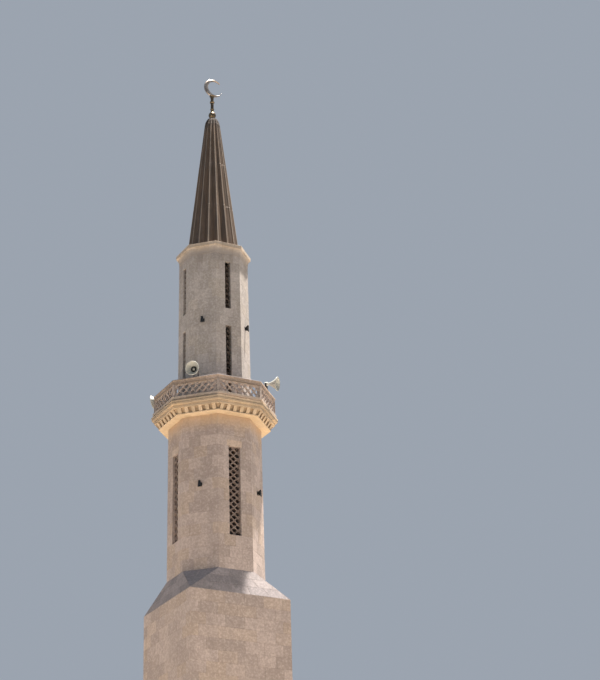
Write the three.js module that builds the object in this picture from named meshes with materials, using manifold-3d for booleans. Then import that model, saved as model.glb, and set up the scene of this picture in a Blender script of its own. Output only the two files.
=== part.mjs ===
// An octagonal stone minaret: a square base, two octagonal stages of shaft, a corbelled
// balcony with a pierced parapet, and a pleated metal spire with a crescent finial.
// Millimetres, +Z up, the front faces -Y, the origin is at the middle of the base.
import * as THREE from 'three';
import { mergeVertices } from 'three/addons/utils/BufferGeometryUtils.js';
import { ConvexGeometry } from 'three/addons/geometries/ConvexGeometry.js';
import Module from 'manifold-3d';

const wasm = await Module();
wasm.setup();
const { Manifold } = wasm;

// Driving dimensions
const gap = 0.3;                     // between solids that touch
const sideCount = 8;
const sideNames = ['front', 'front_right', 'right', 'back_right',
  'back', 'back_left', 'left', 'front_left'];
const windowSides = [0, 2, 4, 6];    // faces with slot windows
const plainSides = [1, 3, 5, 7];     // faces with a lamp and a horn
const backSide = 4;

const baseHalfWidth = 1680;
const baseTop = 18220;
const baseWallThickness = 350;
const floorThickness = 120;

const doorWidth = 1000;
const doorHeight = 2200;
const doorThickness = 60;
const doorSetBack = 120;

const lowerBottom = 19050;           // where the octagon starts
const lowerTop = 24110;
const lowerRadiusBottom = 1520;      // to the corners of the octagon
const lowerRadiusTop = 1484;
const lowerWall = 220;

const lowerSlotWidth = 400;
const lowerSlotBottom = 20150;
const lowerSlotTop = 23070;
const lowerGrilleStep = 106.7;       // between the rows of holes
const lowerGrilleColumn = 121;
const lowerGrilleSetBack = 72;       // behind the wall's face at half the slot's height

const soffitTop = 24135;             // flat course that overhangs the shaft
const soffitRadius = 1803;
const dentilTop = 24295;
const dentilFootRadius = 1795;       // the dentils lean out
const dentilHeadRadius = 1905;
const dentilDepth = 62;
const dentilsPerSide = 6;
const dentilWidth = 118;

const fasciaTop = 24380;             // thin course under the slab
const fasciaRadius = 1945;
const slabEdgeTop = 24520;
const slabRadius = 2040;
const kerbTop = 24670;               // also the balcony floor
const kerbRadius = 1995;

const railBottom = 25085;
const railTop = 25255;
const railRadius = 1975;
const railWidth = 210;
const postWidth = 90;
const postDepth = 120;
const panelThickness = 70;
const panelOutset = 1785;            // outer face of a pierced panel from the axis
const panelBorder = 22;
const panelEnd = 15;                 // solid stone at each end
const panelColumn = 107;             // half pitch along a panel
const panelRow = 120;                // half pitch up a panel
const panelOpenness = 0.64;          // of the largest diamonds that fit

const upperTop = 30000;
const upperRadiusBottom = 1183;
const upperRadiusTop = 1135;
const upperWall = 200;
const upperSlotWidth = 200;
const upperSlots = [{ bottom: 25000, top: 27400 }, { bottom: 28020, top: 29720 }];
const upperGrilleStep = 94;
const upperGrilleColumn = 92;
const upperGrilleSetBack = 60;
const balconyDoorWidth = 600;
const balconyDoorHeight = 1820;

const grilleThickness = 50;
const grilleBorder = 10;
const grilleOpenness = 0.66;         // of the largest diamonds that fit

const cavettoRadius = 1150;          // at its foot
const cavettoTop = 30245;
const cavettoTopRadius = 1222;
const cavettoSteps = 4;
const roofTop = 30370;               // top of the cornice and of the roof slab behind it
const corniceRadius = 1245;
const roofThickness = 180;

const pleatCount = 16;
const spireRadiusBottom = 870;
const spireShoulder = [262, 35500];  // radius and height where the pleats turn in
const spireShell = 40;
const spireCrown = [[236, 35620], [196, 35710], [160, 35765], [90, 35800]];
const pleatDepth = 0.11;             // of the radius

const ballCentre = 35945;
const ballRadius = 128;
const stemRadius = 55;
const knobHeight = 36190;
const knobRadius = 68;
const collarHeight = 36475;
const collarRadius = 84;
const cupRadius = 90;
const cupTop = 36740;
const crescentCentre = [40, 37065];  // X and Z
const crescentRadius = 346;
const crescentInner = 0.80;          // of the radius
const crescentOffset = 0.235;        // between the two circles, of the radius
const crescentThickness = 80;
const crescentLean = 10;             // degrees, tips up

const hornMouthRadius = 225;
const hornThroatRadius = 38;
const hornMouthReach = 2150;         // mouth from the axis
const hornLength = 330;
const hornDriverRadius = 60;
const hornDriverLength = 120;
const hornRise = 215;                // axis above the rail
const hornTilt = 8;                  // degrees, mouth down
const hornFlare = 1.5;               // power of the bell's curve
const hornSkin = 10;
const hornFoot = 55;

const lampHeights = [21790, 27560];
const lampFaceHeight = 210;
const lampTopWidth = 62;
const lampFootWidth = 110;
const lampReach = 125;
const lampArm = 40;

const radians = Math.PI / 180;
const cornerTurn = Math.PI / sideCount;
const cornerFactor = Math.cos(cornerTurn);
const sideAngle = (side) => side * 2 * cornerTurn;
const lowerInside = lowerRadiusTop * cornerFactor - lowerWall;
const upperInside = upperRadiusTop * cornerFactor - upperWall;
// how far the outside of each stage lies from the axis at a height
const between = (low, high, share) => low + (high - low) * share;
const lowerFaceAt = (height) => cornerFactor * between(lowerRadiusBottom, lowerRadiusTop,
  (height - lowerBottom) / (lowerTop - lowerBottom));
const upperFaceAt = (height) => cornerFactor * between(upperRadiusBottom, upperRadiusTop,
  (height - kerbTop) / (upperTop - kerbTop));

// Merges a geometry's shared vertices and turns its faces outward.
function closedMesh(geometry) {
  const bare = new THREE.BufferGeometry();
  bare.setAttribute('position', geometry.getAttribute('position').clone());
  if (geometry.index) bare.setIndex(geometry.index.clone());
  const merged = mergeVertices(bare, 0.01);
  const points = merged.getAttribute('position');
  const index = merged.index.array;
  const corner = [new THREE.Vector3(), new THREE.Vector3(), new THREE.Vector3()];
  const triangles = [];
  let volume = 0;
  for (let i = 0; i < index.length; i += 3) {
    const [a, b, c] = [index[i], index[i + 1], index[i + 2]];
    if (a === b || b === c || c === a) continue;
    triangles.push(a, b, c);
    [a, b, c].forEach((id, k) => corner[k].fromBufferAttribute(points, id));
    volume += corner[0].dot(corner[1].clone().cross(corner[2]));
  }
  if (volume < 0) {
    for (let i = 0; i < triangles.length; i += 3) {
      [triangles[i], triangles[i + 1]] = [triangles[i + 1], triangles[i]];
    }
  }
  return { points: Float32Array.from(points.array), triangles: Uint32Array.from(triangles) };
}

function toSolid(geometry) {
  const { points, triangles } = closedMesh(geometry);
  return new Manifold(new wasm.Mesh({ numProp: 3, vertProperties: points, triVerts: triangles }));
}

function toGeometry(solid) {
  const mesh = solid.getMesh();
  const geometry = new THREE.BufferGeometry();
  geometry.setAttribute('position', new THREE.BufferAttribute(mesh.vertProperties, 3));
  geometry.setIndex(new THREE.BufferAttribute(mesh.triVerts, 1));
  geometry.computeVertexNormals();
  return geometry;
}

// A box given by its limits.
function boxBetween(x0, x1, y0, y1, z0, z1) {
  const box = new THREE.BoxGeometry(x1 - x0, y1 - y0, z1 - z0);
  box.translate((x0 + x1) / 2, (y0 + y1) / 2, (z0 + z1) / 2);
  return toSolid(box);
}

// A profile of [radius, height] points turned about Z. Eight segments give an octagon whose
// radii go to its corners and whose faces look along the eight sides.
function turned(profile, segments = sideCount) {
  const start = segments === sideCount ? cornerTurn : 0;
  const points = profile.map(([radius, height]) => new THREE.Vector2(radius, height));
  const lathe = new THREE.LatheGeometry(points, segments, start);
  lathe.rotateX(Math.PI / 2);
  return lathe;
}

// A solid octagonal drum with the given profile of [radius, height] points.
function octagonDrum(profile) {
  const first = profile[0];
  const last = profile[profile.length - 1];
  return toSolid(turned([[0, first[1]], ...profile, [0, last[1]]]));
}

// A straight octagonal bore with flat sides at the given distance from the axis.
function octagonBore(inside, bottom, top) {
  const radius = inside / cornerFactor;
  return octagonDrum([[radius, bottom], [radius, top]]);
}

// A slot through the wall on one side.
function wallSlot(side, width, bottom, top, reach) {
  const slot = boxBetween(-width / 2, width / 2, -reach, -reach / 3, bottom, top);
  return slot.rotate([0, 0, sideAngle(side) / radians]);
}

// Diamond holes in staggered rows over a rectangle of a front panel, as one cutter.
function diamondCutter(field, columnStep, rowStep, openness, middle, y0, y1) {
  const diamond = new THREE.Shape();
  const halfWide = columnStep * openness;
  const halfHigh = rowStep * openness;
  diamond.moveTo(halfWide, 0);
  diamond.lineTo(0, halfHigh);
  diamond.lineTo(-halfWide, 0);
  diamond.lineTo(0, -halfHigh);
  diamond.closePath();
  const prism = new THREE.ExtrudeGeometry(diamond, { depth: y1 - y0, bevelEnabled: false });
  prism.rotateX(Math.PI / 2);
  const one = toSolid(prism);
  const columns = Math.ceil((field.x1 - field.x0) / columnStep / 2) + 1;
  const rows = Math.ceil((field.z1 - field.z0) / rowStep) + 1;
  const holes = [];
  for (let row = -rows; row <= rows; row += 1) {
    const z = middle + row * rowStep;
    if (z < field.z0 - 1 || z > field.z1 + 1) continue;
    for (let column = -columns; column <= columns; column += 1) {
      if ((row + column) % 2 !== 0) continue;
      holes.push(one.translate([column * columnStep, y1, z]));
    }
  }
  const window = boxBetween(field.x0, field.x1, y0 - 1, y1 + 1, field.z0, field.z1);
  return Manifold.union(holes).intersect(window);
}

// Base
function baseWalls() {
  const half = baseHalfWidth;
  const inner = half - baseWallThickness;
  const doorway = boxBetween(-doorWidth / 2, doorWidth / 2, inner - 50, half + 50,
    floorThickness, floorThickness + doorHeight);
  const longWall = boxBetween(-half, half, -half, -inner, 0, baseTop);
  const shortWall = boxBetween(inner, half, -inner + gap, inner - gap, 0, baseTop);
  return {
    front: longWall,
    right: shortWall,
    back: longWall.rotate([0, 0, 180]).subtract(doorway),
    left: shortWall.rotate([0, 0, 180]),
  };
}

function groundFloor() {
  const half = baseHalfWidth - baseWallThickness - gap;
  return boxBetween(-half, half, -half, half, 0, floorThickness);
}

// The leaf stands inside its doorway and faces +Y.
function doorLeaf(width, height, sill, outerFace) {
  const outside = outerFace - doorSetBack;
  return boxBetween(-width / 2 + gap, width / 2 - gap, outside - doorThickness, outside,
    sill + gap, sill + height - gap);
}

function squareToOctagon(halfWidth, radius, bottom, top) {
  const corners = [];
  for (const x of [-halfWidth, halfWidth]) {
    for (const y of [-halfWidth, halfWidth]) corners.push(new THREE.Vector3(x, y, bottom));
  }
  for (let k = 0; k < sideCount; k += 1) {
    const turn = sideAngle(k) + cornerTurn;
    corners.push(new THREE.Vector3(radius * Math.sin(turn), -radius * Math.cos(turn), top));
  }
  return toSolid(new ConvexGeometry(corners));
}

function octagonTransition() {
  const outer = squareToOctagon(baseHalfWidth, lowerRadiusBottom, baseTop + gap, lowerBottom - gap);
  const innerHalf = baseHalfWidth - baseWallThickness;
  const past = 1;                    // the hollow runs past both ends
  const inner = squareToOctagon(innerHalf, lowerInside / cornerFactor,
    baseTop + gap - past, lowerBottom - gap + past);
  return outer.subtract(inner);
}

// Lower stage
function lowerShaft() {
  let shaft = octagonDrum([[lowerRadiusBottom, lowerBottom], [lowerRadiusTop, lowerTop]]);
  shaft = shaft.subtract(octagonBore(lowerInside, lowerBottom - 1, lowerTop + 1));
  for (const side of windowSides) {
    shaft = shaft.subtract(wallSlot(side, lowerSlotWidth, lowerSlotBottom, lowerSlotTop,
      lowerRadiusBottom));
  }
  return shaft;
}

// A pierced stone grille that fills a slot of the front side, its outer face at the given
// distance from the axis.
function slotGrille(face, slotWidth, slot, columnStep, rowStep) {
  const half = slotWidth / 2 - gap;
  const bottom = slot.bottom + gap;
  const top = slot.top - gap;
  const plate = boxBetween(-half, half, -face, grilleThickness - face, bottom, top);
  const field = { x0: grilleBorder - half, x1: half - grilleBorder,
    z0: bottom + grilleBorder, z1: top - grilleBorder };
  return plate.subtract(diamondCutter(field, columnStep, rowStep, grilleOpenness,
    (bottom + top) / 2, -face - 1, grilleThickness - face + 1));
}

// Balcony
function balconySoffit() {
  const course = octagonDrum([[soffitRadius, lowerTop + gap], [soffitRadius, soffitTop]]);
  return course.subtract(octagonBore(lowerInside, lowerTop, soffitTop + 1));
}

function dentilCourse() {
  const bottom = soffitTop + gap;
  const top = dentilTop - gap;
  const depth = dentilDepth / cornerFactor;
  const bed = octagonDrum([[dentilFootRadius - depth, bottom], [dentilHeadRadius - depth, top]]);
  const front = octagonDrum([[dentilFootRadius, bottom], [dentilHeadRadius, top]]);
  const pitch = 2 * dentilFootRadius * Math.sin(cornerTurn) / dentilsPerSide;
  const blocks = [];
  for (let side = 0; side < sideCount; side += 1) {
    for (let k = 0; k < dentilsPerSide; k += 1) {
      const x = (k - (dentilsPerSide - 1) / 2) * pitch;
      const block = boxBetween(x - dentilWidth / 2, x + dentilWidth / 2,
        -dentilHeadRadius, -dentilFootRadius * cornerFactor + 2 * dentilDepth, bottom, top);
      blocks.push(block.rotate([0, 0, sideAngle(side) / radians]));
    }
  }
  const dentils = front.intersect(Manifold.union(blocks));
  return bed.add(dentils).subtract(octagonBore(lowerInside, bottom - 1, top + 1));
}

function balconySlab() {
  return octagonDrum([[fasciaRadius, dentilTop], [fasciaRadius, fasciaTop],
    [slabRadius, fasciaTop], [slabRadius, slabEdgeTop],
    [kerbRadius, slabEdgeTop], [kerbRadius, kerbTop]]);
}

// One corner post of the parapet, grown by a clearance where it cuts its neighbours.
function parapetPost(side, clearance, bottom, top) {
  const outer = railRadius - 20 + clearance;
  const post = boxBetween(-postWidth / 2 - clearance, postWidth / 2 + clearance,
    -outer, -outer + postDepth + 2 * clearance, bottom, top);
  return post.rotate([0, 0, (sideAngle(side) + cornerTurn) / radians]);
}

function parapetRail() {
  const inside = railRadius * cornerFactor - railWidth;
  let rail = octagonDrum([[railRadius, railBottom], [railRadius, railTop]]);
  rail = rail.subtract(octagonBore(inside, railBottom - 1, railTop + 1));
  const posts = [];
  for (let side = 0; side < sideCount; side += 1) {
    posts.push(parapetPost(side, 0, kerbTop + gap, railBottom + 20));
  }
  return Manifold.union([rail, ...posts]);
}

function parapetPanel() {
  const half = panelOutset * Math.tan(cornerTurn) - postWidth / 4;
  const bottom = kerbTop + gap;
  const top = railBottom - gap;
  const y0 = -panelOutset;
  const y1 = y0 + panelThickness;
  let panel = boxBetween(-half, half, y0, y1, bottom, top);
  for (const side of [0, sideCount - 1]) {
    panel = panel.subtract(parapetPost(side, gap, bottom - 1, top + 1));
  }
  const clearHalf = half - panelEnd;
  const field = { x0: -clearHalf, x1: clearHalf, z0: bottom + panelBorder, z1: top - panelBorder };
  return panel.subtract(
    diamondCutter(field, panelColumn, panelRow, panelOpenness, (bottom + top) / 2, y0 - 1, y1 + 1));
}

// Upper stage
function upperShaft() {
  const bottom = kerbTop + gap;
  const top = upperTop - gap;
  let shaft = octagonDrum([[upperRadiusBottom, bottom], [upperRadiusTop, top]]);
  shaft = shaft.subtract(octagonBore(upperInside, bottom - 1, top + 1));
  for (const side of windowSides) {
    for (const slot of slotsOn(side)) {
      shaft = shaft.subtract(wallSlot(side, upperSlotWidth, slot.bottom, slot.top,
        upperRadiusBottom));
    }
  }
  return shaft.subtract(wallSlot(backSide, balconyDoorWidth, bottom - 1,
    kerbTop + balconyDoorHeight, upperRadiusBottom));
}

// The back has a door where the other sides have their lower slot.
function slotsOn(side) {
  return side === backSide ? [upperSlots[1]] : upperSlots;
}

function upperCornice() {
  const hollow = [];
  for (let k = 0; k <= cavettoSteps; k += 1) {
    const turn = (k / cavettoSteps) * Math.PI / 2;
    hollow.push([cavettoTopRadius - (cavettoTopRadius - cavettoRadius) * Math.cos(turn),
      upperTop + (cavettoTop - upperTop) * Math.sin(turn)]);
  }
  const cornice = octagonDrum([...hollow, [corniceRadius, cavettoTop], [corniceRadius, roofTop]]);
  return cornice.subtract(octagonBore(upperInside, upperTop - 1, roofTop - roofThickness));
}

// Spire and finial
function pleatedRing(radius, height) {
  const ring = [];
  for (let k = 0; k < 2 * pleatCount; k += 1) {
    const turn = (k + 1) * Math.PI / pleatCount;
    const reach = k % 2 === 0 ? radius * (1 - pleatDepth) : radius;
    ring.push(reach * Math.sin(turn), -reach * Math.cos(turn), height);
  }
  return ring;
}

// A solid through a stack of pleated rings, closed by flat ends.
function pleatedDrum(rings) {
  const around = 2 * pleatCount;
  const points = rings.flatMap(([radius, height]) => pleatedRing(radius, height));
  const foot = rings.length * around;
  points.push(0, 0, rings[0][1], 0, 0, rings[rings.length - 1][1]);
  const index = [];
  for (let k = 0; k < around; k += 1) {
    const next = (k + 1) % around;
    index.push(foot, next, k);
    index.push(foot + 1, foot - around + k, foot - around + next);
    for (let row = 0; row < foot - around; row += around) {
      index.push(row + k, row + next, row + around + next);
      index.push(row + k, row + around + next, row + around + k);
    }
  }
  const drum = new THREE.BufferGeometry();
  drum.setAttribute('position', new THREE.Float32BufferAttribute(points, 3));
  drum.setIndex(index);
  drum.rotateZ(cornerTurn / 2);
  return toSolid(drum);
}

function spire() {
  const bottom = roofTop + gap;
  const valley = 1 - pleatDepth;
  const hollowTop = spireShoulder[1] - 300;
  const hollow = toSolid(turned([[0, bottom - 1], [spireRadiusBottom * valley - spireShell, bottom - 1],
    [spireShoulder[0] * valley - spireShell, hollowTop], [0, hollowTop]], 2 * pleatCount));
  return pleatedDrum([[spireRadiusBottom, bottom], spireShoulder, ...spireCrown]).subtract(hollow);
}

function finialStem() {
  const foot = spireCrown[spireCrown.length - 1][1] + gap;
  const profile = [[0, foot], [70, foot]];
  const steps = 12;
  for (let k = 2; k <= steps - 2; k += 1) {
    const turn = (k / steps - 0.5) * Math.PI;
    profile.push([ballRadius * Math.cos(turn), ballCentre + ballRadius * Math.sin(turn)]);
  }
  const swell = (height, radius, half) => [[stemRadius, height - half], [radius, height - half / 2],
    [radius, height + half / 2], [stemRadius, height + half]];
  profile.push([stemRadius, ballCentre + ballRadius], ...swell(knobHeight, knobRadius, 30),
    ...swell(collarHeight, collarRadius, 36), [cupRadius, cupTop - 60], [cupRadius, cupTop], [0, cupTop]);
  return toSolid(turned(profile, 24));
}

function crescent() {
  const outline = new THREE.Shape();
  const inner = crescentRadius * crescentInner;
  const offset = crescentRadius * crescentOffset;
  // where the two circles cross
  const crossX = (crescentRadius ** 2 - inner ** 2 + offset ** 2) / (2 * offset);
  const outerTurn = Math.acos(crossX / crescentRadius);
  const innerTurn = Math.acos((crossX - offset) / inner);
  outline.absarc(0, 0, crescentRadius, outerTurn, 2 * Math.PI - outerTurn, false);
  outline.absarc(offset, 0, inner, 2 * Math.PI - innerTurn, innerTurn, true);
  outline.closePath();
  const plate = new THREE.ExtrudeGeometry(outline,
    { depth: crescentThickness, bevelEnabled: false, curveSegments: 40 });
  plate.translate(0, 0, -crescentThickness / 2);
  plate.rotateX(Math.PI / 2);
  plate.rotateY(-crescentLean * radians);
  plate.translate(crescentCentre[0], 0, crescentCentre[1]);
  const socket = toSolid(turned([[0, cupTop - 120], [cupRadius + gap, cupTop - 120],
    [cupRadius + gap, cupTop + gap], [0, cupTop + gap]], 24));
  return toSolid(plate).subtract(socket);
}

// A horn loudspeaker on the rail, for the front side: bell, driver and foot in one.
function hornLoudspeaker() {
  const steps = 8;
  const outer = [];
  for (let k = 0; k <= steps; k += 1) {
    const along = k / steps;
    const radius = hornThroatRadius + (hornMouthRadius - hornThroatRadius) * along ** hornFlare;
    outer.push([radius, along * hornLength]);
  }
  const inner = outer.slice(1).map(([radius, height]) => [radius - hornSkin, height]).reverse();
  const driver = [[0, -hornDriverLength], [hornDriverRadius, -hornDriverLength],
    [hornDriverRadius, 0]];
  const bell = turned([...driver, ...outer, ...inner, [0, outer[1][1]]], 20);
  // the bell is turned about Z and then laid along -Y
  bell.rotateX(Math.PI / 2);
  bell.rotateX(hornTilt * radians);
  const throatReach = hornMouthReach - hornLength;
  const height = railTop + hornRise;
  bell.translate(0, -throatReach, height);
  const footTop = height;
  const footMiddle = -(throatReach - hornDriverLength / 2);
  const foot = boxBetween(-hornFoot / 2, hornFoot / 2, footMiddle - hornFoot / 2,
    footMiddle + hornFoot / 2, railTop + gap, footTop);
  const plate = boxBetween(-hornFoot, hornFoot, footMiddle - hornFoot, footMiddle + hornFoot,
    railTop + gap, railTop + gap + 12);
  return Manifold.union([toSolid(bell), foot, plate]);
}

// A small floodlight on an arm, for the front side, against a wall at the given distance.
function floodlight(wall, height) {
  const half = lampFaceHeight / 2;
  const back = -(wall + lampArm);
  const face = -(wall + lampReach);
  const corners = [];
  for (const [y, top, foot, tall] of [[back, lampTopWidth * 0.6, lampTopWidth, half * 0.4],
    [face, lampTopWidth, lampFootWidth, half]]) {
    for (const sign of [-1, 1]) {
      corners.push(new THREE.Vector3(sign * top / 2, y, height + tall));
      corners.push(new THREE.Vector3(sign * foot / 2, y, height - tall));
    }
  }
  const body = toSolid(new ConvexGeometry(corners));
  const arm = boxBetween(-15, 15, back - 10, -(wall + gap), height - 15, height + 15);
  return body.add(arm);
}

// Materials, with the colours of the photographed tower
const finish = (color, roughness, metalness) => ({ color, roughness, metalness });
const shaftStone = finish(0xc2b49f, 0.9, 0);
const paleStone = finish(0xdcc39a, 0.9, 0);
const railStone = finish(0xa98c7c, 0.85, 0);
const brownMetal = finish(0x4a3524, 0.45, 0.8);
const brass = finish(0xc39a4a, 0.3, 1);
const hornPaint = finish(0xe2ddcf, 0.5, 0.1);
const lampPaint = finish(0x1c1c1e, 0.5, 0.3);
const doorWood = finish(0x5a4330, 0.7, 0);

const minaret = new THREE.Group();

function place(name, solid, look, turn = 0) {
  const mesh = new THREE.Mesh(toGeometry(solid), new THREE.MeshStandardMaterial(look));
  mesh.name = name;
  mesh.rotation.z = turn;
  minaret.add(mesh);
}

place('ground_floor', groundFloor(), shaftStone);
for (const [name, wall] of Object.entries(baseWalls())) {
  place(`base_wall_${name}`, wall, shaftStone);
}
place('entrance_door', doorLeaf(doorWidth, doorHeight, floorThickness, baseHalfWidth), doorWood);
place('octagon_transition', octagonTransition(), shaftStone);
place('lower_shaft', lowerShaft(), shaftStone);
place('balcony_soffit', balconySoffit(), paleStone);
place('dentil_course', dentilCourse(), paleStone);
place('balcony_slab', balconySlab(), paleStone);
place('parapet_rail', parapetRail(), railStone);
place('upper_shaft', upperShaft(), shaftStone);
place('balcony_door', doorLeaf(balconyDoorWidth, balconyDoorHeight, kerbTop,
  upperInside + upperWall), doorWood);
place('upper_cornice', upperCornice(), paleStone);
place('spire', spire(), brownMetal);
place('finial_stem', finialStem(), brass);
place('crescent', crescent(), brass);

const panel = parapetPanel();
for (let side = 0; side < sideCount; side += 1) {
  place(`parapet_panel_${sideNames[side]}`, panel, shaftStone, sideAngle(side));
}

const lowerSlot = { bottom: lowerSlotBottom, top: lowerSlotTop };
const lowerGrille = slotGrille(lowerFaceAt((lowerSlotBottom + lowerSlotTop) / 2) - lowerGrilleSetBack,
  lowerSlotWidth, lowerSlot, lowerGrilleColumn, lowerGrilleStep);
for (const side of windowSides) {
  place(`lower_grille_${sideNames[side]}`, lowerGrille, shaftStone, sideAngle(side));
  for (const slot of slotsOn(side)) {
    const level = slot === upperSlots[0] ? 'middle' : 'upper';
    const face = upperFaceAt((slot.bottom + slot.top) / 2) - upperGrilleSetBack;
    place(`${level}_grille_${sideNames[side]}`,
      slotGrille(face, upperSlotWidth, slot, upperGrilleColumn, upperGrilleStep),
      shaftStone, sideAngle(side));
  }
}

const horn = hornLoudspeaker();
for (const side of plainSides) {
  const name = sideNames[side];
  place(`horn_${name}`, horn, hornPaint, sideAngle(side));
  place(`lower_floodlight_${name}`, floodlight(lowerFaceAt(lampHeights[0]), lampHeights[0]), lampPaint,
    sideAngle(side));
  place(`upper_floodlight_${name}`, floodlight(upperFaceAt(lampHeights[1]), lampHeights[1]), lampPaint,
    sideAngle(side));
}

export default minaret;
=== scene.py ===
import math
import random

import bmesh
import bpy
from mathutils import Matrix, Vector


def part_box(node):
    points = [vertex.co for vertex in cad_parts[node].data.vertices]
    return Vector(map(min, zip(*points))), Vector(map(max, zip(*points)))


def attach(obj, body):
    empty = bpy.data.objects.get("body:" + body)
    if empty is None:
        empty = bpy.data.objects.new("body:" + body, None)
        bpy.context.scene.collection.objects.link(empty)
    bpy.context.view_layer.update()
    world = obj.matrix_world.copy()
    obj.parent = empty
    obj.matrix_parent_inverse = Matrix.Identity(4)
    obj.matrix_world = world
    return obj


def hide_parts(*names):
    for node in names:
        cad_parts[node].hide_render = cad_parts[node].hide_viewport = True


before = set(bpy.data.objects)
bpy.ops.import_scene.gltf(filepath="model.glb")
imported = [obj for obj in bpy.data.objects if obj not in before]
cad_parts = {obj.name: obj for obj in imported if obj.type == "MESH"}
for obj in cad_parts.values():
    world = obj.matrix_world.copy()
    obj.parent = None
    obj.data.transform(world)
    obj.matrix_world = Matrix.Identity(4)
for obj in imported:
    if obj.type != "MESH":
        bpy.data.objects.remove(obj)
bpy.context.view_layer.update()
print("frame loaded")

scene = bpy.context.scene
sideNames = ("front", "front_right", "right", "back_right", "back", "back_left", "left", "front_left")
plainNames = sideNames[1::2]      # sides with a lamp and a horn
windowNames = sideNames[0::2]
eighth = math.pi / 4              # turn from one side to the next
quarter = math.pi / 2
mitre = math.tan(eighth / 2)      # half the length of a side over its distance from the axis

# Where copies of a bay stand: how many, the turn to the first and the turn from one to the next
allSides = (8, 0.0, eighth)
windowSides = (4, 0.0, quarter)
plainSides = (4, eighth, quarter)
allButBack = (3, -quarter, quarter)
backOnly = (1, 2 * quarter, quarter)
once = (1, 0.0, eighth)

# Camera, at the viewpoint of the photo
shot = {"turn": 28.79, "tilt": 24.99, "roll": -1.72, "distance": 55.0, "aside": 2.817,
        "height": 1.6, "focal": 1850, "longSide": 680, "sensor": 36.0, "farClip": 500}


def linked(name, content):
    made = bpy.data.objects.new(name, content)
    scene.collection.objects.link(made)
    return made


def makeCamera():
    turn = math.radians(shot["turn"])
    lens = bpy.data.cameras.new("camera")
    lens.sensor_width = shot["sensor"]
    lens.lens = shot["focal"] / shot["longSide"] * shot["sensor"]
    lens.clip_end = shot["farClip"]
    camera = linked("camera", lens)
    camera.location = (shot["aside"] * math.cos(turn) - shot["distance"] * math.sin(turn),
                       -shot["aside"] * math.sin(turn) - shot["distance"] * math.cos(turn),
                       shot["height"])
    aim = Matrix.Rotation(-turn, 4, "Z") @ Matrix.Rotation(math.radians(90 + shot["tilt"]), 4, "X")
    camera.rotation_euler = (aim @ Matrix.Rotation(math.radians(shot["roll"]), 4, "Z")).to_euler()
    scene.camera = camera


makeCamera()


# The nodes of one node group; a value is a constant or the socket that it comes from
class Nodes:
    def __init__(self, tree):
        self.tree = tree

    def add(self, kind, values=(), **settings):
        made = self.tree.nodes.new(kind)
        for key, value in settings.items():
            setattr(made, key, value)
        for key, value in dict(values).items():
            if isinstance(value, bpy.types.NodeSocket):
                self.tree.links.new(value, made.inputs[key])
            else:
                made.inputs[key].default_value = value
        return made

    def maths(self, operation, a, b=0.0, c=0.0, clamp=False):
        return self.add("ShaderNodeMath", {0: a, 1: b, 2: c}, operation=operation,
                        use_clamp=clamp).outputs[0]

    def times(self, a, b):
        return self.maths("MULTIPLY", a, b)

    def split(self, vector):
        return self.add("ShaderNodeSeparateXYZ", {0: vector}).outputs

    def vector(self, **parts):
        return self.add("ShaderNodeCombineXYZ", parts).outputs[0]


# A material: its shader, its colour so far and the place that its patterns hang on
class Surface(Nodes):
    def __init__(self, name, **fixed):
        self.material = bpy.data.materials.new(name)
        self.material.use_nodes = True
        super().__init__(self.material.node_tree)
        self.tree.nodes.clear()
        self.shader = self.add("ShaderNodeBsdfPrincipled", fixed)
        output = self.add("ShaderNodeOutputMaterial", {"Surface": self.shader.outputs[0]})
        output.is_active_output = True
        self.place = self.add("ShaderNodeTexCoord").outputs["Object"]
        self.colour = None

    def attribute(self, name):
        return self.add("ShaderNodeAttribute", attribute_name=name).outputs["Fac"]

    def noise(self, size, detail=3.0, rough=0.55, stretch=None):
        place = self.place
        if stretch:
            place = self.add("ShaderNodeMapping", {"Vector": place, "Scale": stretch}).outputs[0]
        return self.add("ShaderNodeTexNoise", {
            "Vector": place, "Scale": size, "Detail": detail, "Roughness": rough}).outputs[0]

    def ramp(self, value, low, high, start=0.0, end=1.0):
        return self.add("ShaderNodeMapRange", {
            "Value": value, "From Min": low, "From Max": high, "To Min": start, "To Max": end},
            clamp=True).outputs[0]

    def mix(self, share, first, second):
        mix = self.add("ShaderNodeMix", {"Factor": share}, data_type="RGBA", blend_type="MIX")
        for socket, value in ((mix.inputs[6], first), (mix.inputs[7], second)):
            if isinstance(value, bpy.types.NodeSocket):
                self.tree.links.new(value, socket)
            else:
                socket.default_value = (*value, 1.0)
        self.colour = mix.outputs[2]

    def tint(self, share, tint):
        self.mix(share, self.colour, tint)

    # Tints where a pattern lies between two of its values
    def layer(self, pattern, low, high, most, tint):
        self.tint(self.ramp(pattern, low, high, 0.0, most), tint)

    def finished(self, rough=None, relief=None, strength=0.0, depth=0.0):
        plugs = {"Base Color": self.colour, "Roughness": rough}
        if relief is not None:
            bump = self.add("ShaderNodeBump", {"Height": relief, "Strength": strength, "Distance": depth})
            plugs["Normal"] = bump.outputs[0]
        for label, socket in plugs.items():
            if socket is not None:
                self.tree.links.new(socket, self.shader.inputs[label])
        return self.material


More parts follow.
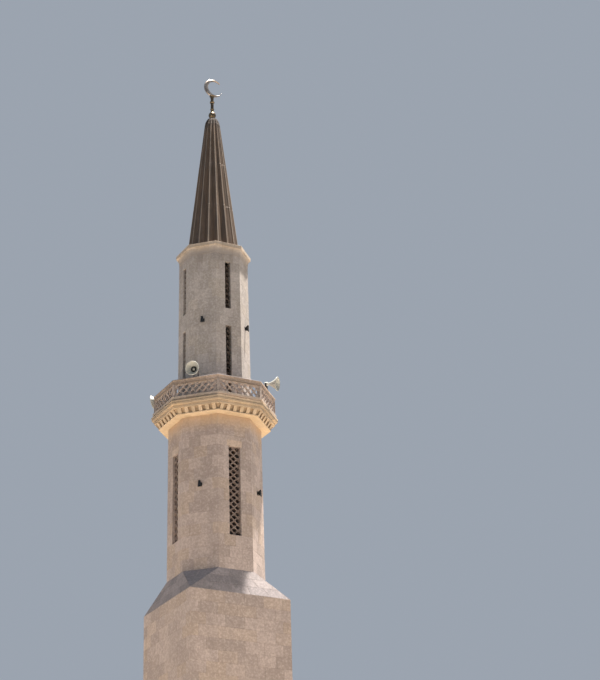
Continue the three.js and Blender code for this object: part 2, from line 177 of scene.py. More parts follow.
# Limestone: every stone has a tone of its own, over clouds, rain streaks, grain and pits
def stoneMaterial(name, look):
    face = Surface(name)
    tone = face.attribute("tone")
    clouds = face.noise(look["cloudSize"], 5.0, 0.6)
    stoneShare = face.ramp(tone, -1.0, 1.0, -look["toneSpread"], look["toneSpread"])
    share = face.maths("ADD", face.ramp(clouds, 0.32, 0.68, 0.2, 0.8), stoneShare, clamp=True)
    face.mix(share, look["dark"], look["light"])
    warmth = face.maths("FRACT", face.times(tone, 3.7))       # some stones are a little warmer
    grain = face.noise(15.0, 5.0, 0.7)                        # the marks of the mason's hammer
    mottle = face.noise(6.5, 4.0, 0.6)
    streaks = face.noise(1.0, 4.0, 0.6, (5.0, 5.0, 0.32))
    patches = face.noise(0.45, 4.0, 0.6)
    for pattern, low, high, most, tint in (
            (warmth, 0.55, 1.0, "warmth", "warm"),
            (grain, 0.42, 0.7, "grain", "speck"), (grain, 0.5, 0.3, "grain", "fleck"),
            (mottle, 0.45, 0.72, "mottle", "speck"), (mottle, 0.48, 0.25, "mottle", "fleck"),
            (streaks, 0.5, 0.78, "streaks", "stain"), (patches, 0.48, 0.72, "patches", "stain")):
        face.layer(pattern, low, high, look[most], look[tint])
    # a tint that grows between two levels, least far between the streaks: a painted warm glow at the top of
    # the lower shaft, painted shade low in the cavetto, and a darker band under the cornice
    level = face.split(face.place)[2]
    for low, high, most, between, tint in look["levelTints"]:
        ragged = face.ramp(streaks, 0.35, 0.65, between * most, most)
        face.tint(face.times(face.ramp(level, low, high), ragged), tint)
    pits = face.add("ShaderNodeTexVoronoi", {"Vector": face.place, "Scale": 55.0}).outputs["Distance"]
    relief = face.maths("MULTIPLY_ADD", face.ramp(pits, 0.0, 0.35), 0.5, grain)
    return face.finished(face.ramp(clouds, 0.3, 0.7, 0.95, 0.82), relief, look["bump"], 0.004)


# A look says what differs from the one it is like. Each level tint: the levels where it ends and starts,
# its share, how much of it stays between streaks, its colour.
stoneLooks = {
    "shaft": {"light": (0.515, 0.406, 0.355), "dark": (0.39, 0.305, 0.263), "warm": (0.51, 0.375, 0.265),
              "speck": (0.27, 0.215, 0.185), "fleck": (0.68, 0.56, 0.49), "stain": (0.26, 0.21, 0.185),
              "cloudSize": 1.6, "toneSpread": 0.8, "warmth": 0.55, "grain": 0.5, "mottle": 0.2,
              "streaks": 0.26, "patches": 0.24, "bump": 0.6,
              # painted warm glow at the top of the lower shaft, where bounce light from the soffit falls
              "levelTints": ((23.55, 24.10, 0.85, 0.75, (0.60, 0.40, 0.23)),)},
    "upper": {"like": "shaft", "light": (0.485, 0.42, 0.376), "dark": (0.383, 0.333, 0.294),
              "warm": (0.48, 0.40, 0.32), "speck": (0.255, 0.22, 0.195), "fleck": (0.66, 0.58, 0.52),
              # the upper stage turns darker up towards the cornice
              "levelTints": ((29.2, 30.0, 0.62, 0.3, (0.25, 0.205, 0.175)),)},
    # a paler, warmer stone; on the soffit its bright warm tone is partly painted bounce light
    "pale": {"like": "shaft", "light": (0.63, 0.47, 0.31), "dark": (0.54, 0.395, 0.25),
             "warm": (0.68, 0.48, 0.27), "speck": (0.42, 0.31, 0.21), "fleck": (0.78, 0.63, 0.45),
             "stain": (0.38, 0.285, 0.195), "streaks": 0.2, "patches": 0.16, "grain": 0.3, "levelTints": ()},
    "edge": {"like": "pale", "light": (0.56, 0.413, 0.28), "dark": (0.45, 0.33, 0.217),
             "warm": (0.62, 0.43, 0.25), "stain": (0.30, 0.225, 0.155), "streaks": 0.3},
    "cornice": {"like": "edge", "light": (0.505, 0.407, 0.32), "dark": (0.40, 0.317, 0.246),
                "warm": (0.54, 0.41, 0.29)},
    # painted shade: a darker copy of the cornice stone, darkening further towards the cavetto's foot
    "cavetto": {"like": "cornice", "light": (0.45, 0.372, 0.31), "dark": (0.36, 0.293, 0.24),
                "warm": (0.48, 0.37, 0.27), "fleck": (0.60, 0.51, 0.42), "speck": (0.29, 0.235, 0.19),
                "levelTints": ((30.19, 30.08, 0.8, 0.8, (0.335, 0.288, 0.252)),)},
    # a darker copy of the edge stone for the ovolo and the underside of the slab: painted shade
    "under": {"like": "edge", "light": (0.34, 0.253, 0.172), "dark": (0.27, 0.198, 0.132)},
    # dark brown for the bed and the sides of the dentils: painted shade between the blocks, and dirt
    "bed": {"like": "edge", "light": (0.41, 0.28, 0.165), "dark": (0.31, 0.205, 0.118),
            "warm": (0.40, 0.26, 0.145)},
    "kerb": {"like": "edge", "light": (0.48, 0.39, 0.325), "dark": (0.36, 0.29, 0.24),
             "warm": (0.48, 0.365, 0.27)},
    # darker stone for the foot of the kerb and of the panels: painted shade in the recess, with rain dirt
    # on the panels
    "dull": {"like": "edge", "light": (0.38, 0.30, 0.235), "dark": (0.28, 0.22, 0.17),
             "warm": (0.40, 0.29, 0.19), "stain": (0.20, 0.16, 0.125)},
    # paler, warmer stone for the lintels; its warm tone is painted reflected light
    "lintel": {"like": "shaft", "light": (0.66, 0.51, 0.40), "dark": (0.56, 0.42, 0.32),
               "warm": (0.62, 0.45, 0.32), "levelTints": ()},
    # grey-blue stone for faces turned up to the sky: partly painted shade under sky light, partly
    # weathering
    "weathered": {"like": "shaft", "light": (0.36, 0.305, 0.295), "dark": (0.27, 0.232, 0.228),
                  "warm": (0.32, 0.27, 0.25), "speck": (0.17, 0.15, 0.15), "fleck": (0.44, 0.385, 0.37),
                  "stain": (0.15, 0.135, 0.135), "streaks": 0.3, "patches": 0.25, "levelTints": ()},
    # near-black brown in the grooves: painted shade, with some grime
    "groove": {"like": "weathered", "light": (0.20, 0.145, 0.095), "dark": (0.125, 0.09, 0.06),
               "fleck": (0.26, 0.195, 0.13), "warm": (0.20, 0.14, 0.085)},
    "rail": {"like": "shaft", "light": (0.47, 0.35, 0.275), "dark": (0.33, 0.245, 0.185),
             "warm": (0.40, 0.285, 0.195), "speck": (0.19, 0.145, 0.115), "fleck": (0.54, 0.42, 0.35),
             "stain": (0.18, 0.14, 0.11), "streaks": 0.28, "patches": 0.25, "levelTints": ()},
    "carved": {"like": "shaft", "light": (0.46, 0.37, 0.32), "dark": (0.36, 0.285, 0.245),
               "warm": (0.43, 0.335, 0.26), "speck": (0.23, 0.185, 0.155), "fleck": (0.55, 0.45, 0.385),
               "stain": (0.19, 0.155, 0.13), "toneSpread": 0.1, "cloudSize": 4.0, "levelTints": ()},
    "grille": {"like": "carved", "light": (0.22, 0.15, 0.12), "dark": (0.14, 0.096, 0.078),
               "warm": (0.24, 0.16, 0.115)},
    "deepGrille": {"like": "grille", "light": (0.18, 0.13, 0.10), "dark": (0.105, 0.078, 0.06),
                   "warm": (0.18, 0.12, 0.085), "fleck": (0.28, 0.22, 0.18)}}


def wholeLook(name):
    look = stoneLooks[name]
    return {**wholeLook(look["like"]), **look} if "like" in look else look


# Sheet metal, streaked darker and lighter down its slope, with dust, a painted highlight along its ridges
# and painted shade at its crown
def sheetMetalMaterial():
    look = {"light": (0.15, 0.096, 0.06), "dark": (0.08, 0.055, 0.038), "ridgeHighlight": (0.54, 0.45, 0.36),
            "dust": (0.22, 0.17, 0.145), "ridgeHighlightShare": 0.6, "dustShare": 0.35,
            "crown": (0.045, 0.032, 0.026), "crownShadeFrom": 35.3, "crownShadeTo": 35.62, "crownShadeShare": 0.93}
    sheet = Surface("brownSheetMetal", Metallic=0.35)
    runs = sheet.noise(1.0, 4.0, stretch=(9.0, 9.0, 0.5))
    sheet.mix(sheet.ramp(runs, 0.3, 0.7), look["dark"], look["light"])
    sheet.layer(sheet.noise(2.3, 5.0, 0.65), 0.5, 0.85, look["dustShare"], look["dust"])
    # painted highlight along the ridges
    sheet.tint(sheet.times(sheet.attribute("ridge"), look["ridgeHighlightShare"]), look["ridgeHighlight"])
    level = sheet.split(sheet.place)[2]
    # painted shade: the crown is darkened so that its sunlit top stays dark
    crown = sheet.ramp(level, look["crownShadeFrom"], look["crownShadeTo"], 0.0, look["crownShadeShare"])
    sheet.tint(crown, look["crown"])
    rough = sheet.maths("MAXIMUM", sheet.ramp(runs, 0.3, 0.7, 0.42, 0.58), crown)
    return sheet.finished(rough, sheet.noise(1.0, 2.0, stretch=(3.0, 3.0, 0.8)), 0.25, 0.02)


def brassMaterial(name, clean, tarnish):
    brass = Surface(name, Metallic=1.0)
    clouds = brass.noise(7.0, 5.0, 0.6)
    brass.mix(brass.ramp(clouds, 0.42, 0.72), tarnish, clean)
    return brass.finished(brass.ramp(clouds, 0.35, 0.65, 0.52, 0.3), brass.noise(60.0, 3.0), 0.12, 0.002)


# Paint with dust on it, for the horns, the lamps and the iron of the doors
def paintMaterial(name, colour, dust, dustShare, rough, metallic=0.0):
    paint = Surface(name, Metallic=metallic)
    clouds = paint.noise(9.0, 5.0, 0.65)
    runs = paint.noise(1.0, 3.0, stretch=(22.0, 22.0, 2.0))
    soiled = paint.times(paint.ramp(clouds, 0.35, 0.7), paint.ramp(runs, 0.3, 0.7))
    paint.mix(paint.times(soiled, dustShare), colour, dust)
    peel = paint.noise(130.0, 2.0)
    return paint.finished(paint.ramp(clouds, 0.3, 0.7, rough, rough + 0.2), peel, 0.08, 0.001)


def glassMaterial():
    glass = Surface("lampGlass")
    smear = glass.noise(25.0, 4.0)
    glass.mix(glass.ramp(smear, 0.4, 0.8, 0.0, 0.5), (0.008, 0.008, 0.009), (0.035, 0.034, 0.032))
    return glass.finished(glass.ramp(smear, 0.3, 0.8, 0.12, 0.4))


def woodMaterial():
    look = {"light": (0.22, 0.135, 0.075), "dark": (0.095, 0.055, 0.03), "grey": (0.23, 0.20, 0.17)}
    wood = Surface("doorWood")
    grain = wood.noise(1.0, 5.0, 0.6, (42.0, 42.0, 1.6))
    share = wood.maths("MULTIPLY_ADD", wood.attribute("tone"), 0.18, wood.ramp(grain, 0.3, 0.7),
                       clamp=True)
    wood.mix(share, look["dark"], look["light"])
    wood.layer(wood.noise(1.4, 4.0), 0.45, 0.75, 0.45, look["grey"])
    return wood.finished(wood.ramp(grain, 0.3, 0.7, 0.78, 0.58), grain, 0.3, 0.003)


stone = {name: stoneMaterial(name + "Stone", wholeLook(name)) for name in stoneLooks}
brownMetal = sheetMetalMaterial()
agedBrass = brassMaterial("agedBrass", (0.33, 0.24, 0.14), (0.105, 0.082, 0.06))
paleBrass = brassMaterial("paleBrass", (0.70, 0.62, 0.54), (0.29, 0.24, 0.205))
hornPaint = paintMaterial("hornPaint", (0.48, 0.47, 0.42), (0.25, 0.225, 0.18), 0.6, 0.42)
# near black for the deep part of each bell: painted shade
hornInside = paintMaterial("hornInside", (0.045, 0.045, 0.046), (0.10, 0.09, 0.075), 0.5, 0.5)
lampPaint = paintMaterial("lampPaint", (0.006, 0.006, 0.007), (0.035, 0.03, 0.025), 0.4, 0.55)
lampGlass = glassMaterial()
doorWood = woodMaterial()
ironPaint = paintMaterial("doorIron", (0.035, 0.033, 0.032), (0.12, 0.07, 0.04), 0.6, 0.45, 0.8)
print("materials made")


# A point on a side of the tower: x along the side, reach out from the axis
def onSide(side, x, reach, z, sides=8):
    turn = 2 * math.pi * side / sides
    return Vector((math.sin(turn) * reach + math.cos(turn) * x,
                   -math.cos(turn) * reach + math.sin(turn) * x, z))


# The points and faces of a piece, and which of its materials each face has
class Shape:
    def __init__(self):
        self.points = []
        self.faces = []
        self.kinds = []
        self.kind = 0             # material index of the faces that come next

    def ring(self, points):
        first = len(self.points)
        self.points += [tuple(p) for p in points]
        return list(range(first, len(self.points)))

    def face(self, corners, kind=None):
        self.faces.append(tuple(corners))
        self.kinds.append(self.kind if kind is None else kind)

    # Quads from ring to ring, or triangles where a ring is a single point
    def skin(self, inner, outer, kinds=()):
        for k in range(max(len(inner), len(outer))):
            corners = [ring[at % len(ring)]
                       for ring, at in ((inner, k), (inner, k + 1), (outer, k + 1), (outer, k))]
            self.face(dict.fromkeys(corners), dict(kinds).get(k))

    # The skin over a row of rings, with both ends closed
    def loft(self, rings, lastKind=None):
        for before, after in zip(rings, rings[1:]):
            self.skin(before, after)
        self.face(rings[-1], lastKind)
        self.face(rings[0][::-1])

    def toObject(self, name, materials=()):
        mesh = bpy.data.meshes.new(name)
        mesh.from_pydata(self.points, [], self.faces)
        for material in materials:
            mesh.materials.append(material)
        mesh.polygons.foreach_set("material_index", self.kinds)
        mesh.update()
        return linked(name, mesh)


# A stone: it stands proud of the wall, its rim is chamfered and its back is in the wall
stoneCut = {"joint": 0.003, "proud": 0.006, "uneven": 0.0012, "bevel": 0.0025, "embed": 0.025}


# How far out each ring of a stone lies and how far in from its outline, from the back to the front
def stoneRings(dice):
    proud = stoneCut["proud"] + dice.uniform(-1, 1) * stoneCut["uneven"]
    bevel = stoneCut["bevel"]
    return ((-stoneCut["embed"], 0), (proud - bevel, 0), (proud, bevel))


def addStone(shape, start, end, low, high, reachAt, dice, sides=8):
    half = stoneCut["joint"] / 2
    turns = start[0] != end[0]    # it wraps a corner of the wall

    def row(z, out, inset):
        reach = reachAt(z) + out
        points = [onSide(start[0], start[1] + half + inset, reach, z, sides)]
        if turns:
            points.append(onSide(start[0], reach * math.tan(math.pi / sides), reach, z, sides))
        points.append(onSide(end[0], end[1] - half - inset, reach, z, sides))
        return points

    rings = []
    for out, inset in stoneRings(dice):
        bottom = row(low + half + inset, out, inset)
        top = row(high - half - inset, out, inset)
        rings.append(shape.ring(bottom + top[::-1]))
    back, rim, front = rings
    shape.skin(back, rim)
    shape.skin(rim, front)
    last = len(front) - 1
    for k in range(last // 2):
        shape.face((front[k], front[k + 1], front[last - k - 1], front[last - k]))
        shape.face((back[k], back[last - k], back[last - k - 1], back[k + 1]))


# A stone with any flat outline, given as seen from outside, counter-clockwise
def addFlatStone(shape, outline, dice):
    middle = sum(outline, Vector()) / len(outline)
    normal = (outline[1] - outline[0]).cross(outline[-1] - outline[0]).normalized()
    size = min((p - middle).length for p in outline)
    slant = 1.4                   # a corner moves in by more than the edges beside it
    rings = []
    for out, inset in stoneRings(dice):
        shrunk = 1 - slant * (inset + stoneCut["joint"] / 2) / size
        rings.append(shape.ring([middle + (p - middle) * shrunk + normal * out for p in outline]))
    shape.loft(rings)


# A length of moulding. Its outline is a closed loop of (distance from the axis, height), up the
# outside and down the back. The material index of a face is looked up by the point it starts at, and
# that of the two ends by None. A station is a side, a share of the half side and a shift along it.
def addMoulding(shape, stations, outline, kinds=()):
    rings = [shape.ring([onSide(side, share * reach * mitre + shift, reach, z) for reach, z in outline])
             for side, share, shift in stations]
    for before, after in zip(rings, rings[1:]):
        shape.skin(after, before, kinds)
    shape.face(rings[0], dict(kinds).get(None))
    shape.face(rings[-1][::-1], dict(kinds).get(None))


# A side and a corner of a ring of moulding stones, which meet at a share of the half side
def mouldingBay(outline, corner=0.5, joint=stoneCut["joint"], kinds=()):
    shape = Shape()
    half = joint / 2
    addMoulding(shape, [(0, -corner, half), (0, corner, -half)], outline, kinds)
    addMoulding(shape, [(0, corner, half), (0, 1, 0), (1, -corner, -half)], outline, kinds)
    return shape


def arcPoints(middle, sizes, startTurn, endTurn, steps):
    turns = [math.radians(startTurn + (endTurn - startTurn) * k / steps) for k in range(steps + 1)]
    return [(middle[0] + sizes[0] * math.cos(t), middle[1] + sizes[1] * math.sin(t)) for t in turns]


# Points round a unit circle, pinched by a power under 2 and squared by one over 2
def roundPoints(count, power):
    points = []
    for k in range(count):
        turn = 2 * math.pi * k / count
        c, s = math.cos(turn), math.sin(turn)
        size = (abs(c) ** power + abs(s) ** power) ** (-1 / power)
        points.append((c * size, s * size))
    return points


# A shape turned about an axis, from an outline of (radius, distance along)
def addTurned(shape, outline, segments, foot=Vector(), axis=Vector((0, 0, 1))):
    across = axis.orthogonal().normalized()
    other = axis.cross(across)
    rings = []
    for radius, along in outline:
        turns = [2 * math.pi * k / segments for k in range(segments if radius else 1)]
        rings.append(shape.ring([foot + axis * along + (across * math.cos(t) + other * math.sin(t)) * radius
                                 for t in turns]))
    for lower, upper in zip(rings, rings[1:]):
        shape.skin(lower, upper)


# A box with chamfered edges; its corners are taken through the place function
def addBlock(shape, low, high, bevel, place=lambda *point: point):
    rings = []
    for y, inset in ((high[1], bevel), (high[1] - bevel, 0), (low[1] + bevel, 0), (low[1], bevel)):
        x0, x1 = low[0] + inset, high[0] - inset
        z0, z1 = low[2] + inset, high[2] - inset
        outline = [(x0 + bevel, z0), (x1 - bevel, z0), (x1, z0 + bevel), (x1, z1 - bevel),
                   (x1 - bevel, z1), (x0 + bevel, z1), (x0, z1 - bevel), (x0, z0 + bevel)]
        rings.append(shape.ring([place(x, y, z) for x, z in outline]))
    shape.loft(rings)


def smoothed(made, angle):
    made.data.shade_smooth()
    made.data.set_sharp_from_angle(angle=math.radians(angle))
    return made


# Fills open ends and turns every face outward
def sealed(made):
    work = bmesh.new()
    work.from_mesh(made.data)
    bmesh.ops.holes_fill(work, edges=[edge for edge in work.edges if edge.is_boundary], sides=0)
    bmesh.ops.recalc_face_normals(work, faces=work.faces)
    work.to_mesh(made.data)
    work.free()
    return made


# A Geometry Nodes group with named inputs, each of them a kind and a value; it ends in its material
class GeometryTree(Nodes):
    def __init__(self, name, inputs):
        super().__init__(bpy.data.node_groups.new(name, "GeometryNodeTree"))
        sockets = {"Geometry": ("Geometry", None), **inputs, "Material": ("Material", None)}
        for label, (kind, value) in sockets.items():
            socket = self.tree.interface.new_socket(label, in_out="INPUT", socket_type="NodeSocket" + kind)
            if value is not None:
                socket.default_value = value
        self.tree.interface.new_socket("Geometry", in_out="OUTPUT", socket_type="NodeSocketGeometry")
        self.given = self.add("NodeGroupInput").outputs

    def position(self):
        return self.add("GeometryNodeInputPosition").outputs[0]

    def grid(self, sizeX, sizeY, countX, countY):
        return self.add("GeometryNodeMeshGrid", {
            "Size X": sizeX, "Size Y": sizeY, "Vertices X": countX, "Vertices Y": countY}).outputs[0]

    def store(self, geometry, name, value):
        return self.add("GeometryNodeStoreNamedAttribute", {
            "Geometry": geometry, "Name": name, "Value": value},
            data_type="FLOAT", domain="POINT").outputs[0]

    def moved(self, geometry, position):
        return self.add("GeometryNodeSetPosition", {
            "Geometry": geometry, "Position": position}).outputs[0]

    def realized(self, geometry):
        return self.add("GeometryNodeRealizeInstances", {"Geometry": geometry}).outputs[0]

    def finished(self, geometry, chosen=True):
        painted = self.add("GeometryNodeSetMaterial", {
            "Geometry": geometry, "Material": self.given["Material"], "Selection": chosen})
        self.add("NodeGroupOutput", {"Geometry": painted.outputs[0]})
        return self.tree


# Runs a node group on an object and leaves the result as its plain mesh
def runTree(made, tree, values):
    modifier = made.modifiers.new(tree.name, "NODES")
    modifier.node_group = tree
    for item in tree.interface.items_tree:
        if item.item_type == "SOCKET" and item.in_out == "INPUT" and item.name in values:
            modifier[item.identifier] = values[item.name]
    evaluated = made.evaluated_get(bpy.context.evaluated_depsgraph_get())
    mesh = bpy.data.meshes.new_from_object(evaluated)
    mesh.name = made.name
    made.modifiers.remove(modifier)
    made.data = mesh
    return made


# Repeats a bay about the tower's axis and gives each of its stones a tone of its own
def repeatTree():
    nodes = GeometryTree("repeatAround", {
        "Count": ("Int", 8), "First Turn": ("Float", 0.0), "Step": ("Float", eighth), "Seed": ("Int", 1)})
    given = nodes.given
    line = nodes.add("GeometryNodeMeshLine", {"Count": given["Count"], "Offset": (0, 0, 0)})
    index = nodes.add("GeometryNodeInputIndex").outputs[0]
    turn = nodes.maths("MULTIPLY_ADD", index, given["Step"], given["First Turn"])
    copies = nodes.add("GeometryNodeInstanceOnPoints", {
        "Points": line.outputs[0], "Instance": given["Geometry"], "Rotation": nodes.vector(Z=turn)})
    island = nodes.add("GeometryNodeInputMeshIsland").outputs["Island Index"]
    dice = nodes.add("FunctionNodeRandomValue", {2: -1.0, 3: 1.0, "ID": island, "Seed": given["Seed"]},
                     data_type="FLOAT")
    toned = nodes.store(nodes.realized(copies.outputs[0]), "tone", dice.outputs[1])
    # the first material goes on the faces that have no other
    kind = nodes.add("GeometryNodeInputMaterialIndex").outputs[0]
    return nodes.finished(toned, nodes.maths("LESS_THAN", kind, 0.5))


repeatAround = repeatTree()
seeds = iter(range(11, 200))


# Stands copies of a piece round the tower
def repeated(made, sides=allSides):
    count, first, step = sides
    return runTree(made, repeatAround, {"Count": count, "First Turn": first, "Step": step,
                                        "Seed": next(seeds), "Material": made.data.materials[0]})


def keepPiece(made, replaced=()):
    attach(made, "root")
    if replaced:
        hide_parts(*replaced)
    return made


# Makes a piece of bays that stand round the tower
def ringPiece(name, shape, materials, sides=allSides, replaced=(), smooth=None):
    made = repeated(shape.toObject(name, materials), sides)
    if smooth:
        smoothed(made, smooth)
    return keepPiece(made, replaced)


# The lowest and the highest level of a CAD node
def levelsOf(node):
    return tuple(corner.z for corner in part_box(node))


# How far a CAD node reaches from the axis
def edgeOf(node):
    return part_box(node)[1].x


# How far a CAD side lies from the axis at one of its levels
def reachOf(node, z):
    near = 0.003
    return max(v.co.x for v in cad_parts[node].data.vertices if abs(v.co.z - z) < near)


# Equal stretches between two values, each as its start and its end
def stretches(start, end, count):
    marks = [start + (end - start) * k / count for k in range(count + 1)]
    return list(zip(marks, marks[1:]))


def openingAt(openings, low, high):
    middle = (low + high) / 2
    for half, bottom, top in openings:
        if bottom < middle < top:
            return half
    return 0


def addRun(shape, wall, side, start, end, low, high, dice):
    for left, right in stretches(start, end, max(1, round((end - start) / wall["stoneLength"]))):
        addStone(shape, (side, left), (side, right), low, high, wall["reachAt"], dice, wall["sides"])


# The stones either side of an opening, or across a whole side
def addOpenRun(shape, wall, start, end, opening, low, high, dice):
    if not opening:
        addRun(shape, wall, 0, start, end, low, high, dice)
        return
    if -opening - start > wall["least"]:
        addRun(shape, wall, 0, start, -opening, low, high, dice)
    if end - opening > wall["least"]:
        addRun(shape, wall, 0, opening, end, low, high, dice)


# A quarter of a shaft: a plain side, a window side and the stones that wrap their corners
def shaftQuarter(wall, openings, seed):
    shape = Shape()
    dice = random.Random(seed)
    half = wall["half"]
    for course, (low, high) in enumerate(wall["courses"]):
        windowLeg, plainLeg = wall["legs"] if course % 2 else wall["legs"][::-1]
        opening = openingAt(openings, low, high)
        inner = half - windowLeg
        if opening and inner - opening < wall["least"]:
            inner = opening
        addRun(shape, wall, -1, plainLeg - half, half - plainLeg, low, high, dice)
        addStone(shape, (-1, half - plainLeg), (0, -inner), low, high, wall["reachAt"], dice)
        addOpenRun(shape, wall, -inner, inner, opening, low, high, dice)
        addStone(shape, (0, inner), (1, plainLeg - half), low, high, wall["reachAt"], dice)
    return shape


# A wall that leans in; a band is its bottom, its top and its number of courses
def taperedWall(node, bands, part):
    low, high = levelsOf(node)
    foot, head = reachOf(node, low), reachOf(node, high)

    def reachAt(z):
        return foot + (head - foot) * (z - low) / (high - low)

    courses = [course for band in bands for course in stretches(*band)]
    return {**part, "sides": 8, "reachAt": reachAt, "half": (foot + head) / 2 * mitre, "courses": courses}


# Lower stage of the shaft. The legs of a corner stone are long and short in turn, and no stone beside
# an opening is shorter than the least.
lowerPart = {"slotHalf": 0.2, "stoneLength": 0.40, "legs": (0.36, 0.19), "least": 0.12,
             "lintelHalf": 0.26, "lintelHeight": 0.20, "lintelProud": 0.006}
lowerBottom, lowerTop = levelsOf("lower_shaft")
lowerSlot = levelsOf("lower_grille_front")
lowerWall = taperedWall("lower_shaft", [(lowerBottom, lowerSlot[0], 3), (*lowerSlot, 8),
                                        (lowerSlot[1], lowerTop, 3)], lowerPart)
ringPiece("lower_shaft_stones", shaftQuarter(lowerWall, [(lowerPart["slotHalf"], *lowerSlot)], seed=3),
          [stone["shaft"]], windowSides)


def lintelBay():
    shape = Shape()
    half, low = lowerPart["lintelHalf"], lowerSlot[1]
    addStone(shape, (0, -half), (0, half), low, low + lowerPart["lintelHeight"],
             lambda z: lowerWall["reachAt"](z) + lowerPart["lintelProud"], random.Random(4))
    return shape


# the lintels' warm tone is painted reflected light
ringPiece("lower_lintels", lintelBay(), [stone["lintel"]], windowSides)

# Upper stage; the back has a door in place of its lower slot
upperPart = {"slotHalf": 0.1, "stoneLength": 0.36, "legs": (0.26, 0.14), "least": 0.12,
             "doorHalf": 0.36, "jamb": 0.06, "boards": 4, "leafLap": 0.05}
upperBottom, upperTop = levelsOf("upper_shaft")
firstSlot, secondSlot = levelsOf("middle_grille_front"), levelsOf("upper_grille_front")
upperWall = taperedWall("upper_shaft", [(upperBottom, firstSlot[0], 1), (*firstSlot, 7),
                                        (firstSlot[1], secondSlot[0], 2), (*secondSlot, 5),
                                        (secondSlot[1], upperTop, 1)], upperPart)
slotOpenings = [(upperPart["slotHalf"], *slot) for slot in (firstSlot, secondSlot)]
ringPiece("upper_shaft_stones", shaftQuarter(upperWall, slotOpenings, seed=5), [stone["upper"]],
          allButBack)
# the surround of the door ends with the course over its leaf
leafTop = levelsOf("balcony_door")[1] - upperPart["leafLap"]
doorHead = min(high for low, high in upperWall["courses"] if low > leafTop)
doorOpenings = [(upperPart["doorHalf"], upperBottom, doorHead), slotOpenings[1]]
ringPiece("upper_shaft_stones_back", shaftQuarter(upperWall, doorOpenings, seed=6), [stone["upper"]],
          backOnly)

# Base: four walls with stones that wrap their corners, and the entrance at the back
basePart = {"stoneLength": 0.62, "legs": (0.52, 0.27), "least": 0.12, "count": 50, "doorHalf": 0.64,
            "doorCourses": 7, "jamb": 0.14, "boards": 6}
baseHalf = edgeOf("base_wall_front")
baseTop = levelsOf("base_wall_front")[1]
baseWall = {**basePart, "sides": 4, "reachAt": lambda z: baseHalf,
            "courses": stretches(0.0, baseTop, basePart["count"])}
entranceHead = baseTop / basePart["count"] * basePart["doorCourses"]


def baseSide(openings, seed):
    shape = Shape()
    dice = random.Random(seed)
    for course, (low, high) in enumerate(baseWall["courses"]):
        before, after = baseWall["legs"] if course % 2 else baseWall["legs"][::-1]
        start, end = before - baseHalf, baseHalf - after
        addOpenRun(shape, baseWall, start, end, openingAt(openings, low, high), low, high, dice)
        addStone(shape, (0, end), (1, start), low, high, baseWall["reachAt"], dice, baseWall["sides"])
    return shape


ringPiece("base_wall_stones", baseSide([], seed=7), [stone["shaft"]], allButBack)
ringPiece("base_wall_stones_back", baseSide([(basePart["doorHalf"], 0.0, entranceHead)], seed=8),
          [stone["shaft"]], backOnly)


# Sloping courses where the square base becomes an octagon
def slopeQuarter():
    shape = Shape()
    dice = random.Random(9)
    slope = {"courses": 3, "stoneLength": 0.6}
    reachTop = reachOf("lower_shaft", lowerBottom)

    def corner(sign, share):
        reach = baseHalf + (reachTop - baseHalf) * share
        along = baseHalf + (reachTop * mitre - baseHalf) * share
        return onSide(0, sign * along, reach, baseTop + (lowerBottom - baseTop) * share)

    def addFace(leftAt, rightAt):
        for low, high in stretches(0, 1, slope["courses"]):
            left, right, leftTop, rightTop = leftAt(low), rightAt(low), leftAt(high), rightAt(high)
            length = (rightTop - leftTop + right - left).length / 2
            for a, b in stretches(0, 1, max(1, round(length / slope["stoneLength"]))):
                outline = [left.lerp(right, a), left.lerp(right, b),
                           leftTop.lerp(rightTop, b), leftTop.lerp(rightTop, a)]
                pointed = (right - left).length < 1e-4
                addFlatStone(shape, outline[1:] if pointed else outline, dice)

    turned = Matrix.Rotation(quarter, 4, "Z")
    addFace(lambda t: corner(-1, t), lambda t: corner(1, t))
    addFace(lambda t: corner(1, t), lambda t: turned @ corner(-1, t))
    return shape


# the grey-blue of the slopes is partly painted shade under sky light, partly weathering
ringPiece("octagon_transition_stones", slopeQuarter(), [stone["weathered"]], windowSides)
print("walls dressed")


# Balcony: a flat soffit, dentils that lean out, the edge of the slab, a kerb and the floor behind it
balcony = {"dentils": 6, "dentilWidth": 0.116, "dentilDepth": 0.062, "dentilLean": 0.1016,
           "dentilEmbed": 0.01, "chamfer": 0.004, "soffitChamfer": 0.003, "stoneDepth": 0.12, "lap": 0.05,
           "floorThickness": 0.045, "kerbDepth": 0.25, "kerbLap": 0.01,
           "edgeCorner": 0.55, "kerbCorner": 0.4, "coreGaps": (0.02, 0.01, 0.005)}
# each member of the edge from the bottom up: how far in from the slab's edge, and its height
edgeMembers = {"fascia": (0.088, 0.085), "ovolo": (0.010, 0.035), "face": (0.010, 0.040),
               "bandGroove": (0.028, 0.008), "band": (0.0, 0.057)}
# the dull foot of the kerb is darker stone: painted shade in its recess
kerbMembers = {"dullFoot": (0.058, 0.068), "bead": (0.0416, 0.082)}
slabReach = edgeOf("balcony_slab")
slabLow, kerbTop = levelsOf("balcony_slab")
slabTop = slabLow + sum(tall for inset, tall in edgeMembers.values())
edgeBack = reachOf("balcony_slab", slabLow) - balcony["stoneDepth"]
kerbBack = slabReach - kerbMembers["bead"][0] - balcony["kerbDepth"]
floorLow = kerbTop - balcony["floorThickness"]


def soffitBay():
    low, high = levelsOf("balcony_soffit")
    reach, ease = edgeOf("balcony_soffit"), balcony["soffitChamfer"]
    inner = lowerWall["reachAt"](low) - balcony["lap"]
    outline = [(reach - ease, low), (reach, low + ease), (reach, high), (inner, high), (inner, low)]
    return mouldingBay(outline)


